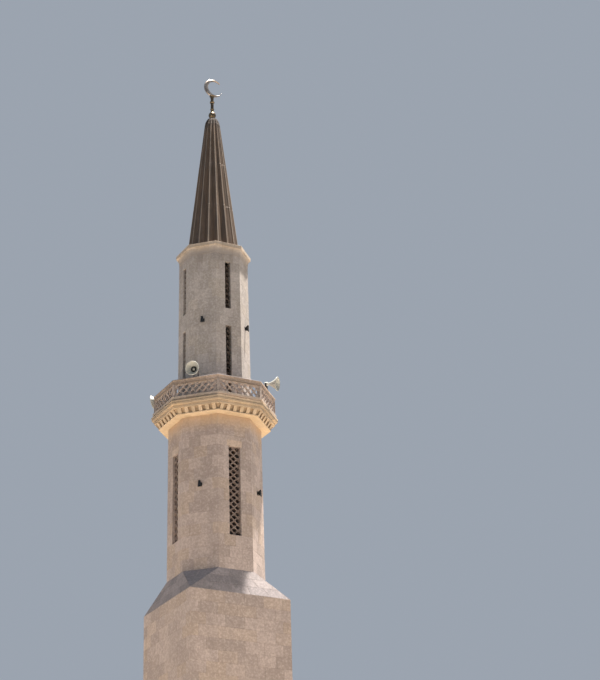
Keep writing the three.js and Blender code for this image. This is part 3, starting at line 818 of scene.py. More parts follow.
# The dentils stand before a bed that leans with them. The bed and the sides of the blocks are dark brown:
# painted shade between the blocks, and dirt.
def dentilBay():
    low, high = levelsOf("dentil_course")
    head = edgeOf("dentil_course")
    foot = head - balcony["dentilLean"]
    depth, b = balcony["dentilDepth"], balcony["chamfer"]
    back = foot - balcony["stoneDepth"]
    shape = mouldingBay([(foot - depth, low), (head - depth, high), (back, high), (back, low)],
                        kinds={0: 1})
    embed = depth + balcony["dentilEmbed"]
    block = [(foot - b, low), (foot, low + b), (head, high - b), (head - b, high), (head - embed, high),
             (foot - embed, low)]
    half = balcony["dentilWidth"] / 2
    for start, end in stretches(-foot * mitre, foot * mitre, balcony["dentils"]):
        x = (start + end) / 2
        addMoulding(shape, [(0, 0, x - half), (0, 0, x + half)], block, {None: 1})
    return shape


# The outside of a stack of members, each a flat band with eased edges, a groove, or a curve that comes
# out from the member below: convex in an ovolo, hollow in a cavetto. With it come the material indices
# of the faces that aren't plain: 1 in a groove, 2 on a dull member or a curve.
def memberOutline(members, reach, low, ease):
    outline = []
    kinds = {}
    for name, (inset, tall) in members.items():
        out, high, first = reach - inset, low + tall, len(outline)
        if name == "ovolo":
            foot = outline[-1][0]
            outline += arcPoints((foot, high), (out - foot, tall), -86, 0, 7)
        elif name == "cavetto":
            foot = outline[-1][0]
            outline += arcPoints((out, low), (out - foot, tall), 176, 90, 9)
        elif name.endswith("Groove"):
            outline += [(out, low), (out, high)]
            kinds.update(dict.fromkeys(range(first - 1, first + 2), 1))
        else:
            outline += [(out - ease, low), (out, low + ease), (out, high - ease), (out - ease, high)]
            if name.startswith("dull"):
                kinds.update(dict.fromkeys(range(first, first + 3), 2))
        if name in ("ovolo", "cavetto"):
            kinds.update(dict.fromkeys(range(first - 1, len(outline) - 1), 2))
        low = high
    return outline, kinds


def slabEdgeBay():
    outline, kinds = memberOutline(edgeMembers, slabReach, slabLow, balcony["chamfer"])
    outline += [(edgeBack, slabTop), (edgeBack, slabLow)]
    # the ovolo and the underside take the darker stone of painted shade
    kinds[len(outline) - 1] = 2       # the underside, behind the dentils
    return mouldingBay(outline, balcony["edgeCorner"], kinds=kinds)


def kerbBay():
    outline, kinds = memberOutline(kerbMembers, slabReach, slabTop, balcony["chamfer"])
    outline = [*outline[:-1], (outline[-1][0], kerbTop), (kerbBack, kerbTop),
               (kerbBack, slabTop - balcony["kerbLap"])]
    return mouldingBay(outline, balcony["kerbCorner"], kinds=kinds)


def floorBay():
    outer = kerbBack - stoneCut["joint"]
    inner = reachOf("upper_shaft", upperBottom) - balcony["lap"]
    return mouldingBay([(outer, floorLow), (outer, kerbTop), (inner, kerbTop), (inner, floorLow)])


# A closed octagonal core, unseen behind the edge stones
def coreShape(reach, low, high):
    shape = Shape()
    shape.loft([shape.ring([onSide(k, reach * mitre, reach, z) for k in range(8)]) for z in (low, high)])
    return shape


# the soffit's pale, warm stone is partly painted bounce light
ringPiece("balcony_soffit_stones", soffitBay(), [stone["pale"]], replaced=["balcony_soffit"])
ringPiece("dentils", dentilBay(), [stone["edge"], stone["bed"]], replaced=["dentil_course"])
ringPiece("balcony_edge_stones", slabEdgeBay(), [stone["edge"], stone["groove"], stone["under"]],
          replaced=["balcony_slab"], smooth=30)
ringPiece("parapet_kerb", kerbBay(), [stone["kerb"], stone["groove"], stone["dull"]])
ringPiece("balcony_paving", floorBay(), [stone["weathered"]])
coreOut, coreLow, coreHigh = balcony["coreGaps"]
ringPiece("balcony_core", coreShape(edgeBack + coreOut, slabLow + coreLow, floorLow + coreHigh),
          [stone["shaft"]], once)


# Parapet: rail, corner posts and pierced panels
rail = {"lip": 0.042, "back": 0.018, "width": 0.21, "round": 0.014, "footBack": 0.008, "footRise": 0.006,
        "grooveRise": 0.018, "grooveHeight": 0.014, "grooveDepth": 0.012, "grooveSlant": 0.003,
        "underLip": 0.012, "ease": 0.004, "corner": 0.45, "joint": 0.005}
post = {"width": 0.09, "depth": 0.12, "inset": 0.02, "lap": 0.02, "chamfer": 0.006}
panel = {"thickness": 0.07, "border": 0.022, "end": 0.015, "columns": 7, "column": 0.107, "row": 0.12,
         "open": 0.68, "lap": 0.002, "postShare": 0.45, "frameProud": 0.004, "chamfer": 0.003}
railTop = levelsOf("parapet_rail")[1]
railReach = edgeOf("parapet_rail")
railLow = levelsOf("parapet_panel_front")[1]
panelReach = -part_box("parapet_panel_front")[0].y


def railBay():
    lipLow, slope, ease, radius = railTop - rail["lip"], rail["underLip"], rail["ease"], rail["round"]
    band, inner = railReach - rail["back"], railReach - rail["width"]
    innerBand = inner + rail["back"]
    low, deep, slant = railLow + rail["grooveRise"], band - rail["grooveDepth"], rail["grooveSlant"]
    high = low + rail["grooveHeight"]
    outline = [(band - rail["footBack"], railLow), (band, railLow + rail["footRise"]), (band, low),
               (deep, low + slant), (deep, high - slant), (band, high), (band, lipLow - slope),
               (railReach - ease, lipLow), (railReach, lipLow + ease)]
    top = len(outline)
    for x, start in ((railReach - radius, 0), (inner + radius, 90)):
        outline += arcPoints((x, railTop - radius), (radius, radius), start, start + 90, 4)
    kinds = {2: 1, 3: 1, 4: 1, **dict.fromkeys(range(top, len(outline)), 2)}    # the groove and the top
    outline += [(inner, lipLow), (innerBand, lipLow - slope), (innerBand, railLow)]
    return mouldingBay(outline, rail["corner"], rail["joint"], kinds)


def postBay():
    shape = Shape()
    outer = railReach / math.cos(eighth / 2) - post["inset"]
    half = post["width"] / 2
    addBlock(shape, (-half, -outer, kerbTop), (half, -outer + post["depth"], railLow + post["lap"]),
             post["chamfer"], lambda x, y, z: onSide(0.5, x, -y, z))      # at the corner of two sides
    return shape


ringPiece("parapet_rail_stones", railBay(), [stone["rail"], stone["groove"], stone["weathered"]],
          replaced=["parapet_rail"], smooth=30)
ringPiece("parapet_posts", postBay(), [stone["carved"]])


# Pierces staggered holes through a plate that faces the front
def pierceTree():
    nodes = GeometryTree("piercePlate", {
        "Hole": ("Object", None), "Columns": ("Int", 6), "Rows": ("Int", 1),
        "Column Step": ("Float", 0.1), "Row Step": ("Float", 0.1), "Middle": ("Float", 0.0)})
    given = nodes.given
    # the grid has as many steps as asked for on both sides of its middle, and a point at each end
    sizes = [nodes.times(nodes.times(given[count], 2.0), given[step])
             for count, step in (("Columns", "Column Step"), ("Rows", "Row Step"))]
    counts = [nodes.maths("MULTIPLY_ADD", given[count], 2.0, 1.0) for count in ("Columns", "Rows")]
    split = nodes.split(nodes.position())
    column, row = (nodes.maths("ROUND", nodes.maths("DIVIDE", split[axis], given[step]))
                   for axis, step in ((0, "Column Step"), (1, "Row Step")))
    odd = nodes.maths("FLOORED_MODULO", nodes.maths("ADD", column, row), 2.0)
    # the choice is stored before the grid is stood up
    marked = nodes.store(nodes.grid(*sizes, *counts), "chosen", nodes.maths("LESS_THAN", odd, 0.5))
    upright = nodes.vector(X=split[0], Z=nodes.maths("ADD", split[1], given["Middle"]))
    chosen = nodes.add("GeometryNodeInputNamedAttribute", {"Name": "chosen"}, data_type="FLOAT")
    hole = nodes.add("GeometryNodeObjectInfo", {"Object": given["Hole"]})
    holes = nodes.add("GeometryNodeInstanceOnPoints", {
        "Points": nodes.moved(marked, upright), "Instance": hole.outputs["Geometry"],
        "Selection": nodes.maths("GREATER_THAN", chosen.outputs[0], 0.5)})
    cut = nodes.add("GeometryNodeMeshBoolean", {
        0: given["Geometry"], 1: nodes.realized(holes.outputs[0])}, operation="DIFFERENCE")
    return nodes.finished(cut.outputs[0])


piercePlate = pierceTree()
# a drill is a rounded diamond, wider at both faces of the stone so that the edges are eased
drill = {"ease": 0.006, "past": 0.01, "points": 16, "power": 1.35}


def makeDrill(wide, tall, front, back):
    shape = Shape()
    ease, past = drill["ease"], drill["past"]
    rings = []
    for y, grown in ((back + past, past + ease), (back - ease, 0.0), (front + ease, 0.0),
                     (front - past, past + ease)):
        rings.append(shape.ring([(x * (wide + grown), y, z * (tall + grown))
                                 for x, z in roundPoints(drill["points"], drill["power"])]))
    shape.loft(rings)
    return shape.toObject("drill")


# A plate between two corners with holes in it, which open a share of the step between them
def piercedPlate(name, low, high, sizes, columns, rows, material):
    shape = Shape()
    corners = ((low[0], low[2]), (high[0], low[2]), (high[0], high[2]), (low[0], high[2]))
    shape.loft([shape.ring([(x, y, z) for x, z in corners]) for y in (high[1], low[1])])
    hole = makeDrill(sizes["column"] * sizes["open"], sizes["row"] * sizes["open"], low[1], high[1])
    plate = runTree(shape.toObject(name), piercePlate, {
        "Columns": columns, "Rows": rows, "Column Step": sizes["column"], "Row Step": sizes["row"],
        "Middle": (low[2] + high[2]) / 2, "Material": material, "Hole": hole})
    bpy.data.objects.remove(hole)
    return plate


# Joins helper meshes into one and gives it the materials
def merged(name, parts, materials):
    whole = bmesh.new()
    for part in parts:
        whole.from_mesh(part.data)
    mesh = bpy.data.meshes.new(name)
    whole.to_mesh(mesh)
    whole.free()
    for part in parts:
        bpy.data.objects.remove(part)
    mesh.materials.clear()
    for material in materials:
        mesh.materials.append(material)
    return linked(name, mesh)


def parapetPanels():
    front, back = -panelReach, panel["thickness"] - panelReach
    clearHalf = panelReach * mitre - post["width"] / 4 - panel["end"]
    low, high = kerbTop + panel["border"], railLow - panel["border"]
    plate = piercedPlate("lattice", (-clearHalf, front, low), (clearHalf, back, high), panel,
                         panel["columns"], 1, stone["carved"])
    shape = Shape()
    lap, proud = panel["lap"], panel["frameProud"]
    endHalf = panelReach * mitre - post["width"] * panel["postShare"]
    for kind, x0, x1, z0, z1 in ((1, -endHalf, endHalf, kerbTop, low + lap),
                                 (0, -endHalf, endHalf, high - lap, railLow),
                                 (0, -endHalf, lap - clearHalf, low, high),
                                 (0, clearHalf - lap, endHalf, low, high)):
        shape.kind = kind             # the foot of the panel is darker: painted shade under the lattice, and rain dirt
        addBlock(shape, (x0, front - proud, z0), (x1, back + proud, z1), panel["chamfer"])
    materials = [stone["carved"], stone["dull"]]
    return merged("parapet_panels", [plate, shape.toObject("frame", materials)], materials)


keepPiece(repeated(parapetPanels()), [f"parapet_panel_{name}" for name in sideNames])
print("balcony made")


# Pierced stone that fills the slots. The middle column of holes is a half step off the outer ones.
upperGrille = {"column": 0.092, "row": 0.094, "open": 0.80, "finish": "deepGrille"}
grilles = {"lower": {"column": 0.121, "row": 0.1067, "open": 0.64, "finish": "grille"},
           "middle": upperGrille, "upper": upperGrille}


def slotGrille(level, sides, names):
    sizes, name = grilles[level], f"{level}_grilles"
    material = stone[sizes["finish"]]
    low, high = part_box(f"{level}_grille_front")
    # the rows are an even number each way from the middle, so the middle hole stays at the middle
    rows = int((high.z - low.z) / 2 / sizes["row"])
    made = merged(name, [piercedPlate(name, low, high, sizes, 1, rows, material)], [material])
    keepPiece(repeated(made, sides), [f"{level}_grille_{side}" for side in names])


slotGrille("lower", windowSides, windowNames)
slotGrille("middle", allButBack, ("front", "right", "left"))
slotGrille("upper", windowSides, windowNames)
print("grilles pierced")


# Cornice of the upper stage, and the roof behind it
cornice = {"ease": 0.004, "joint": 0.004, "back": 0.86, "roof": 0.19, "roofLap": 0.01, "roofDrop": 0.004}
# each member from the bottom up: how far in from the top fillet, and its height
corniceMembers = {"dullNecking": (0.088, 0.012), "cavetto": (0.020, 0.228), "fillet": (0.014, 0.014),
                  "top": (0.0, 0.116)}
corniceLow, corniceHigh = levelsOf("upper_cornice")


def corniceBay():
    reach, back = edgeOf("upper_cornice"), cornice["back"]
    outline, kinds = memberOutline(corniceMembers, reach, corniceLow, cornice["ease"])
    outline = [*outline[:-1], (outline[-1][0], corniceHigh), (back, corniceHigh), (back, corniceLow)]
    return mouldingBay(outline, joint=cornice["joint"], kinds=kinds)


ringPiece("upper_cornice_stones", corniceBay(), [stone["cornice"], stone["groove"], stone["cavetto"]],
          replaced=["upper_cornice"], smooth=30)
roof = coreShape(cornice["back"] + cornice["roofLap"], corniceLow + cornice["roof"],
                 corniceHigh - cornice["roofDrop"])
ringPiece("roof_core", roof, [stone["upper"]], once)


# Spire: an outline turned into pleats, with a rolled seam along each ridge. A lap of its sheets is a
# step in the outline. The crown is a list of radii and levels.
spire = {"pleats": 16, "steps": 12, "foot": 0.872, "depth": 0.11, "roll": 0.013, "firstRidge": 7.5,
         "laps": 3, "lap": ((0.002, -0.003), (-0.001, 0.003)), "seamFold": 0.8, "ridgeFold": 0.95,
         "seamWidening": 1.15, "weld": 0.0005,
         "crown": ((0.262, 35.50), (0.236, 35.62), (0.196, 35.71), (0.160, 35.765), (0.09, 35.80))}


def pleatTree():
    nodes = GeometryTree("pleatedSpire", {
        "Rows": ("Int", 8), "Pleats": ("Int", 16), "Steps": ("Int", 12), "Depth": ("Float", 0.11),
        "Roll": ("Float", 0.013), "First Ridge": ("Float", 0.0)})
    given, maths, times = nodes.given, nodes.maths, nodes.times
    around = times(given["Pleats"], given["Steps"])
    lastRow = maths("SUBTRACT", given["Rows"], 1.0)
    grid = nodes.grid(around, lastRow, maths("ADD", around, 1.0), given["Rows"])
    split = nodes.split(nodes.position())
    column = maths("ROUND", maths("MULTIPLY_ADD", around, 0.5, split[0]))
    row = maths("ROUND", maths("MULTIPLY_ADD", lastRow, 0.5, split[1]))
    sampled = nodes.add("GeometryNodeSampleIndex", {
        "Geometry": given["Geometry"], "Index": row, "Value": nodes.position()},
        data_type="FLOAT_VECTOR", domain="POINT")
    outline = nodes.split(sampled.outputs[0])
    # the fold is 1 on a ridge and 0 in a valley
    within = maths("DIVIDE", maths("FLOORED_MODULO", column, given["Steps"]), given["Steps"])
    fold = times(maths("ABSOLUTE", maths("SUBTRACT", within, 0.5)), 2.0)
    drop = times(maths("SUBTRACT", 1.0, fold), given["Depth"])
    folded = times(outline[0], maths("SUBTRACT", 1.0, drop))
    # the rolled seam is slimmer near the crown
    slim = maths("MINIMUM", times(outline[0], spire["seamWidening"]), 1.0)
    roll = times(maths("GREATER_THAN", fold, spire["seamFold"]), times(given["Roll"], slim))
    radius = maths("ADD", folded, roll)
    turn = maths("MULTIPLY_ADD", maths("DIVIDE", column, around), 2 * math.pi, given["First Ridge"])
    position = nodes.vector(X=times(radius, maths("SINE", turn)),
                            Y=times(radius, times(maths("COSINE", turn), -1.0)), Z=outline[2])
    marked = nodes.store(grid, "ridge", maths("GREATER_THAN", fold, spire["ridgeFold"]))
    closed = nodes.add("GeometryNodeMergeByDistance", {
        "Geometry": nodes.moved(marked, position), "Distance": spire["weld"]})
    return nodes.finished(nodes.realized(closed.outputs[0]))


def makeSpire():
    low = levelsOf("spire")[0]
    radius, shoulder = spire["crown"][0]
    outline = [(spire["foot"], low)]
    for k in range(1, spire["laps"]):
        share = k / spire["laps"]
        reach, z = spire["foot"] + (radius - spire["foot"]) * share, low + (shoulder - low) * share
        outline += [(reach + out, z + rise) for out, rise in spire["lap"]]
    outline += spire["crown"]
    mesh = bpy.data.meshes.new("spire_pleats")
    mesh.from_pydata([(reach, 0, z) for reach, z in outline], [], [])
    made = runTree(linked("spire_pleats", mesh), pleatTree(), {
        "Rows": len(outline), "Pleats": spire["pleats"], "Steps": spire["steps"], "Depth": spire["depth"],
        "Roll": spire["roll"], "First Ridge": math.radians(spire["firstRidge"]), "Material": brownMetal})
    return sealed(made)


keepPiece(makeSpire(), ["spire"])
print("spire made")


# Finial: ball, knob, collar and cup on a stem. The foot is a list of radii and rises; the cup's foot and
# rim say how far each point stands beyond the stem or the rim, and how far under the top.
finial = {"ball": (35.945, 0.128), "stem": 0.053, "knob": (36.19, 0.068, 0.03),
          "collar": (36.475, 0.084, 0.036), "neck": 1.4, "cup": (36.74, 0.090), "segments": 40,
          "foot": ((0.0, 0.0), (0.092, 0.0), (0.094, 0.012), (0.075, 0.024)),
          "cupFoot": ((0.0, -0.112), (0.012, -0.07)),
          "cupRim": ((-0.006, -0.0245), (0.0, -0.02), (0.0, -0.004), (-0.01, 0.0))}
# the crescent is lofted between two circles, with rounded rims
crescent = {"middle": (0.04, 0.0, 37.065), "radius": 0.346, "inner": 0.80, "offset": 0.235,
            "thickness": 0.08, "lean": 10, "stations": 56, "around": 12, "power": 3, "blunt": 0.012,
            "tipShare": 0.25, "swelling": 1.3}


def makeStem():
    shape = Shape()
    low = levelsOf("finial_stem")[0]
    centre, radius = finial["ball"]
    stem = finial["stem"]
    outline = [(wide, low + rise) for wide, rise in finial["foot"]]
    outline += arcPoints((0, centre), (radius, radius), -62, 68, 14)
    for height, wide, half in (finial["knob"], finial["collar"]):
        outline.append((stem, height - half * finial["neck"]))
        outline += arcPoints((stem, height), (wide - stem, half), -80, 80, 6)
        outline.append((stem, height + half * finial["neck"]))
    top, wide = finial["cup"]
    for reach, profile in ((stem, finial["cupFoot"]), (wide, finial["cupRim"])):
        outline += [(reach + out, top + rise) for out, rise in profile]
    outline.append((0, top))
    addTurned(shape, outline, finial["segments"])
    return smoothed(shape.toObject("finial_stem_turned", [agedBrass]), angle=35)


def makeCrescent():
    radius = crescent["radius"]
    inner, offset = radius * crescent["inner"], radius * crescent["offset"]
    crossX = (radius ** 2 - inner ** 2 + offset ** 2) / (2 * offset)
    outerTurn, innerTurn = math.acos(crossX / radius), math.acos((crossX - offset) / inner)
    lean = Matrix.Rotation(-math.radians(crescent["lean"]), 4, "Y")
    widest = radius - inner + offset
    shape = Shape()
    rings = []
    for k in range(crescent["stations"] + 1):
        share = crescent["blunt"] + (1 - 2 * crescent["blunt"]) * k / crescent["stations"]
        a, b = (turn + (2 * math.pi - 2 * turn) * share for turn in (outerTurn, innerTurn))
        outerPoint = Vector((radius * math.cos(a), 0, radius * math.sin(a)))
        innerPoint = Vector((offset + inner * math.cos(b), 0, inner * math.sin(b)))
        middle, across = (outerPoint + innerPoint) / 2, (outerPoint - innerPoint) / 2
        # thinner towards the tips
        swelling = crescent["swelling"] * math.sqrt(2 * across.length / widest)
        thick = crescent["thickness"] / 2 * min(1.0, crescent["tipShare"] + swelling)
        rings.append(shape.ring([lean @ (middle + across * c + Vector((0, thick * s, 0)))
                                 + Vector(crescent["middle"])
                                 for c, s in roundPoints(crescent["around"], crescent["power"])]))
    shape.loft(rings)
    return smoothed(sealed(shape.toObject("crescent_rounded", [paleBrass])), angle=50)


keepPiece(makeStem(), ["finial_stem"])
keepPiece(makeCrescent(), ["crescent"])
print("finial made")


# Horn loudspeakers on the rail: bell, bullet, driver and bracket. The driver's outline says how far each
# point stands beyond its radius, and its place along the axis.
horn = {"mouth": 0.225, "throat": 0.038, "length": 0.33, "reach": 2.150, "rise": 0.215, "tilt": 8,
        "flare": 1.5, "steps": 14, "skin": 0.006, "rim": 0.011, "segments": 40, "throatShadeShare": 0.45,
        "bulletRadius": 0.045, "bulletTip": 0.19, "bulletStem": 0.02, "bulletSegments": 24,
        "stemGrowth": 1.1, "bulletLength": 1.6,
        "driver": 0.060, "driverSegments": 28,
        "driverOutline": ((-0.02, -0.12), (-0.006, -0.112), (0.0, -0.1), (0.0, -0.045), (0.006, -0.04),
                          (0.006, -0.022), (0.0, -0.017), (-0.02, 0.0), (-0.02, 0.012))}
bracket = {"behind": 0.06, "gap": 0.012, "thick": 0.004, "half": 0.022, "top": 0.02, "chamfer": 0.0015,
           "bolt": ((0, -0.008), (0.012, -0.008), (0.012, 0.012), (0, 0.012)), "boltSegments": 12,
           "cross": (0.006, 0.014), "armFoot": 0.012, "foot": 0.055, "footHeight": 0.008,
           "footChamfer": 0.002}


def hornBay():
    shape = Shape()
    tilt = math.radians(horn["tilt"])
    axis = Vector((0, -math.cos(tilt), -math.sin(tilt)))
    throat = Vector((0, horn["length"] - horn["reach"], railTop + horn["rise"]))
    segments, length, rim = horn["segments"], horn["length"], horn["rim"]
    shares = [k / horn["steps"] for k in range(horn["steps"] + 1)]
    bell = [(horn["throat"] + (horn["mouth"] - horn["throat"]) * share ** horn["flare"], share * length)
            for share in shares]
    lip = arcPoints((horn["mouth"] - rim / 2, length - rim), (rim, rim), -50, 200, 9)
    inside = [(radius - horn["skin"], along) for radius, along in bell[1:-1]][::-1]
    bright = [point for point in inside if point[1] > horn["throatShadeShare"] * length]
    deep = inside[len(bright) - 1:]
    addTurned(shape, [(0, 0), *bell[:-1], *lip, *bright], segments, throat, axis)
    # painted shade: the deep part of the bell is painted near black
    shape.kind = 1
    addTurned(shape, [*deep, (0, deep[-1][1])], segments, throat, axis)
    # the sound comes out round a bullet that sits deep in the bell
    shape.kind = 0
    wide, tip, stem = horn["bulletRadius"], horn["bulletTip"], horn["bulletStem"]
    addTurned(shape, [(0, stem), (stem, stem),
                      (stem * horn["stemGrowth"], tip - wide * horn["bulletLength"]),
                      *arcPoints((0, tip - wide), (wide, wide), -40, 80, 6), (0, tip)],
              horn["bulletSegments"], throat, axis)
    driver = [(horn["driver"] + out, along) for out, along in horn["driverOutline"]]
    addTurned(shape, [(0, driver[0][1]), *driver, (0, driver[-1][1])], horn["driverSegments"], throat, axis)
    addBracket(shape, throat)
    return shape


# A foot on the rail, a yoke with two arms and the bolts that hold the driver between them
def addBracket(shape, throat):
    shape.kind = 2
    middle, half, foot = throat.y + bracket["behind"], bracket["half"], bracket["foot"]
    arm, thick = horn["driver"] + bracket["gap"], bracket["thick"]

    def addBar(x0, x1, z0, z1):
        addBlock(shape, (x0, middle - half, z0), (x1, middle + half, z1), bracket["chamfer"])

    for sign in (-1, 1):
        x = sign * arm
        addBar(x - thick, x + thick, railTop + bracket["armFoot"], throat.z + bracket["top"])
        addTurned(shape, bracket["bolt"], bracket["boltSegments"], Vector((x, middle, throat.z)),
                  Vector((sign, 0, 0)))
    addBar(-arm - thick, arm + thick, *(railTop + rise for rise in bracket["cross"]))
    addBlock(shape, (-foot, middle - foot, railTop), (foot, middle + foot, railTop + bracket["footHeight"]),
             bracket["footChamfer"])


ringPiece("horn_loudspeakers", hornBay(), [hornPaint, hornInside, ironPaint], plainSides,
          [f"horn_{name}" for name in plainNames], smooth=35)


# Floodlights on the plain sides: a flared housing, its glass, and blocks behind it. A block is half its
# width, where it starts and ends from the wall out, half its height and its chamfer.
lamp = {"face": 0.21, "topWidth": 0.062, "footWidth": 0.11, "reach": 0.125, "arm": 0.04, "rim": 0.010,
        "frameDepth": 0.02, "frameGrowth": 0.004, "taper": 0.97, "backShares": (0.6, 0.4), "sunk": 0.006,
        "fins": 5, "finStep": 0.3,
        "fin": (0.026, 0.036, 0.085, 0.004, 0.001), "knuckle": (0.03, 0.006, 0.045, 0.03, 0.003),
        "plate": (0.05, -0.004, 0.018, 0.06, 0.002)}


def makeLamps(name, nodePrefix, wall):
    height = sum(levelsOf(f"{nodePrefix}_front_right")) / 2
    wallFace = wall["reachAt"](height)
    half, top, foot, face = lamp["face"] / 2, lamp["topWidth"], lamp["footWidth"], lamp["reach"]
    shape = Shape()

    def outline(reach, top, foot, tall, inset=0.0):
        corners = ((-foot / 2 + inset, -tall + inset), (foot / 2 - inset, -tall + inset),
                   (top / 2 - inset, tall - inset), (-top / 2 + inset, tall - inset))
        return shape.ring([(x, -(wallFace + reach), height + z) for x, z in corners])

    def addPart(middle, sizes):
        halfWide, near, far, halfTall, chamfer = sizes
        addBlock(shape, (-halfWide, -(wallFace + far), middle - halfTall),
                 (halfWide, -(wallFace + near), middle + halfTall), chamfer)

    frameBack, growth, taper = face - lamp["frameDepth"], lamp["frameGrowth"], lamp["taper"]
    backWide, backTall = lamp["backShares"]
    shape.loft([outline(lamp["arm"], top * backWide, top, half * backTall),
                outline(frameBack, top * taper, foot * taper, half * taper),
                outline(frameBack, top + growth, foot + growth, half),
                outline(face, top + growth, foot + growth, half),
                outline(face, top, foot, half, lamp["rim"]),
                outline(face - lamp["sunk"], top, foot, half, lamp["rim"])], lastKind=1)
    for k in range(lamp["fins"]):
        addPart(height + (k - (lamp["fins"] - 1) / 2) * half * lamp["finStep"], lamp["fin"])
    addPart(height, lamp["knuckle"])
    addPart(height, lamp["plate"])
    ringPiece(name, shape, [lampPaint, lampGlass], plainSides,
              [f"{nodePrefix}_{side}" for side in plainNames])


makeLamps("lower_floodlights", "lower_floodlight", lowerWall)
makeLamps("upper_floodlights", "upper_floodlight", upperWall)
print("horns and lamps made")


# Doors at the back: boards, straps with nails, a ring handle, and a stone surround. The nail and the
# plate of the handle are turned from radii and rises.
door = {"backing": 0.015, "backingChamfer": 0.002, "boardDepth": 0.02, "boardGap": 0.002,
        "boardShort": 0.004, "boardChamfer": 0.004, "straps": 3, "strapHalf": 0.03,
        "strapEnds": (0.02, 0.05), "strapIn": 0.003, "strapOut": 0.008, "nailOut": 0.006,
        "nail": ((0, -0.004), (0.014, -0.004), (0.012, 0.004), (0.006, 0.009), (0, 0.011)),
        "handleIn": 0.12, "handlePlate": ((0, 0), (0.035, 0), (0.033, 0.006), (0, 0.008)),
        "ringRadius": 0.042, "ringThick": 0.006, "ringOut": 0.018, "ringDrop": 0.035, "ringSteps": 20,
        "ringSection": 8, "plateIn": 0.001, "plateSegments": 20, "nailSegments": 10, "strapShift": 0.6,
        "balconyLevel": 25.5}
surround = {"embed": 0.03, "proud": 0.016, "gap": 0.002, "joint": 0.003, "below": 0.02, "chamfer": 0.006,
            "sillDrop": 0.06, "sillGap": 0.004, "sillProud": 0.01, "sillIn": 0.02}


def makeDoor(name, node, wallReach, part, lintelTop):
    low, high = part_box(node)
    shape = Shape()
    outward = Vector((0, 1, 0))
    gap, short = door["boardGap"], door["boardShort"]
    addBlock(shape, low, (high.x, high.y - door["backing"], high.z), door["backingChamfer"])
    columns = stretches(low.x, high.x, part["boards"])
    for left, right in columns:
        addBlock(shape, (left + gap, high.y - door["boardDepth"], low.z + short),
                 (right - gap, high.y, high.z - short), door["boardChamfer"])
    shape.kind = 1
    for k in range(door["straps"]):
        z = low.z + (high.z - low.z) * (k + door["strapShift"]) / door["straps"]
        addBlock(shape, (low.x + door["strapEnds"][0], high.y - door["strapIn"], z - door["strapHalf"]),
                 (high.x - door["strapEnds"][1], high.y + door["strapOut"], z + door["strapHalf"]),
                 door["backingChamfer"])
        for left, right in columns:
            addTurned(shape, door["nail"], door["nailSegments"],
                      Vector(((left + right) / 2, high.y + door["nailOut"], z)), outward)
    addHandle(shape, Vector((low.x + door["handleIn"], high.y, (low.z + high.z) / 2)), outward)
    made = repeated(shape.toObject(name, [doorWood, ironPaint]), once)
    keepPiece(sealed(made), [node])
    makeSurround(name + "_surround", low, high, wallReach, part["jamb"], lintelTop)


# A ring that hangs from a plate
def addHandle(shape, place, outward):
    addTurned(shape, door["handlePlate"], door["plateSegments"], place - outward * door["plateIn"], outward)
    centre = place + outward * door["ringOut"] - Vector((0, 0, door["ringDrop"]))
    rings = []
    for k in range(door["ringSteps"]):
        turn = 2 * math.pi * k / door["ringSteps"]
        radial = Vector((math.cos(turn), 0, math.sin(turn)))
        rings.append(shape.ring([centre + radial * (door["ringRadius"] + x * door["ringThick"])
                                 + outward * y * door["ringThick"]
                                 for x, y in roundPoints(door["ringSection"], 2)]))
    for before, after in zip(rings, [*rings[1:], rings[0]]):
        shape.skin(before, after)


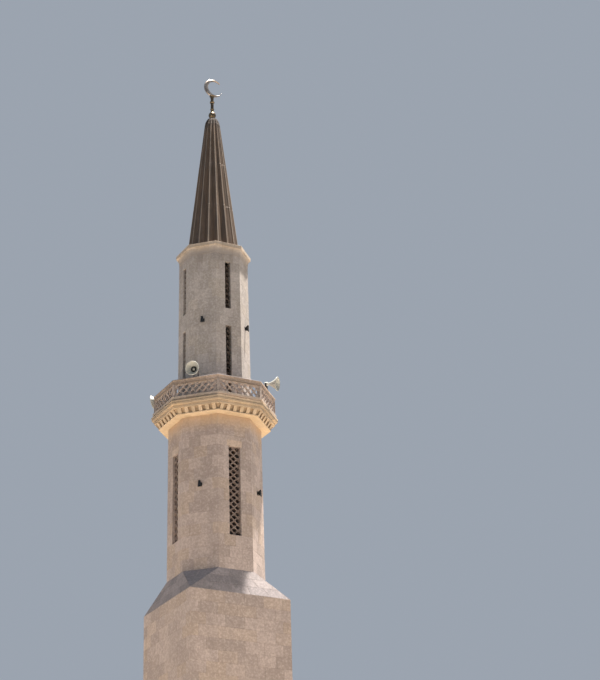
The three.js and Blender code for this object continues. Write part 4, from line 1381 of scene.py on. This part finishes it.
# Two jambs, a lintel and a sill
def makeSurround(name, low, high, wallReach, jamb, lintelTop):
    shape = Shape()
    half = (high.x - low.x) / 2
    whole = half + jamb
    back, face = wallReach - surround["embed"], wallReach + surround["proud"]
    blocks = [((x0, back, low.z - surround["below"]), (x1, face, high.z))
              for x0, x1 in ((-whole, -half - surround["gap"]), (half + surround["gap"], whole))]
    blocks += [((-whole, back, high.z + surround["joint"]), (whole, face, lintelTop - surround["joint"])),
               ((-half, high.y - surround["sillIn"], low.z - surround["sillDrop"]),
                (half, face + surround["sillProud"], low.z - surround["sillGap"]))]
    for start, end in blocks:
        addBlock(shape, start, end, surround["chamfer"])
    keepPiece(sealed(repeated(shape.toObject(name, [stone["pale"]]), once)))


makeDoor("entrance_door_boards", "entrance_door", baseHalf, basePart, entranceHead)
makeDoor("balcony_door_boards", "balcony_door", upperWall["reachAt"](door["balconyLevel"]), upperPart,
         doorHead)
print("doors made")


# The CAD walls show in the joints and in the reveals
for name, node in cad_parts.items():
    if not node.hide_render:
        node.data.materials.clear()
        node.data.materials.append(stone["upper" if name == "upper_shaft" else "shaft"])


# Pale floor, and a soft sun from high on the right
studio = {"world": (0.66, 0.74, 0.86), "worldStrength": 0.5, "floor": (0.40, 0.357, 0.302),
          "floorPaler": (0.412, 0.3677, 0.3111), "floorHalf": 38, "floorLow": -0.001,
          "sunStrength": 19.0, "sunSoftness": 2.5, "sunTurn": 98.3, "sunHeight": 78.9,
          "sunColour": (1.0, 0.95, 0.88), "fillStrength": 0.5, "fillSoftness": 90.0, "fillTurn": 75.0,
          "fillHeight": 15.0}


def makeStudio():
    scene.world = bpy.data.worlds.new("studio")
    scene.world.use_nodes = True
    background = scene.world.node_tree.nodes["Background"]
    background.inputs[0].default_value = (*studio["world"], 1)
    background.inputs[1].default_value = studio["worldStrength"]
    for kind in ("sun", "fill"):
        sun = bpy.data.lights.new(kind, "SUN")
        sun.energy = studio[kind + "Strength"]
        sun.angle = math.radians(studio[kind + "Softness"])
        sun.color = studio["sunColour"]
        turn, rise = math.radians(studio[kind + "Turn"]), math.radians(studio[kind + "Height"])
        source = Vector((math.sin(turn) * math.cos(rise), -math.cos(turn) * math.cos(rise), math.sin(rise)))
        linked(kind, sun).rotation_euler = source.to_track_quat("Z", "Y").to_euler()
    matt = Surface("studioFloor", Roughness=0.9)
    matt.mix(matt.noise(0.3, 2.0), studio["floor"], studio["floorPaler"])
    shape = Shape()
    half, low = studio["floorHalf"], studio["floorLow"]
    shape.face(shape.ring([(-half, -half, low), (half, -half, low), (half, half, low), (-half, half, low)]))
    floor = shape.toObject("floor", [matt.finished()])


makeStudio()
scene.view_settings.view_transform = "Standard"

print("scene ready")
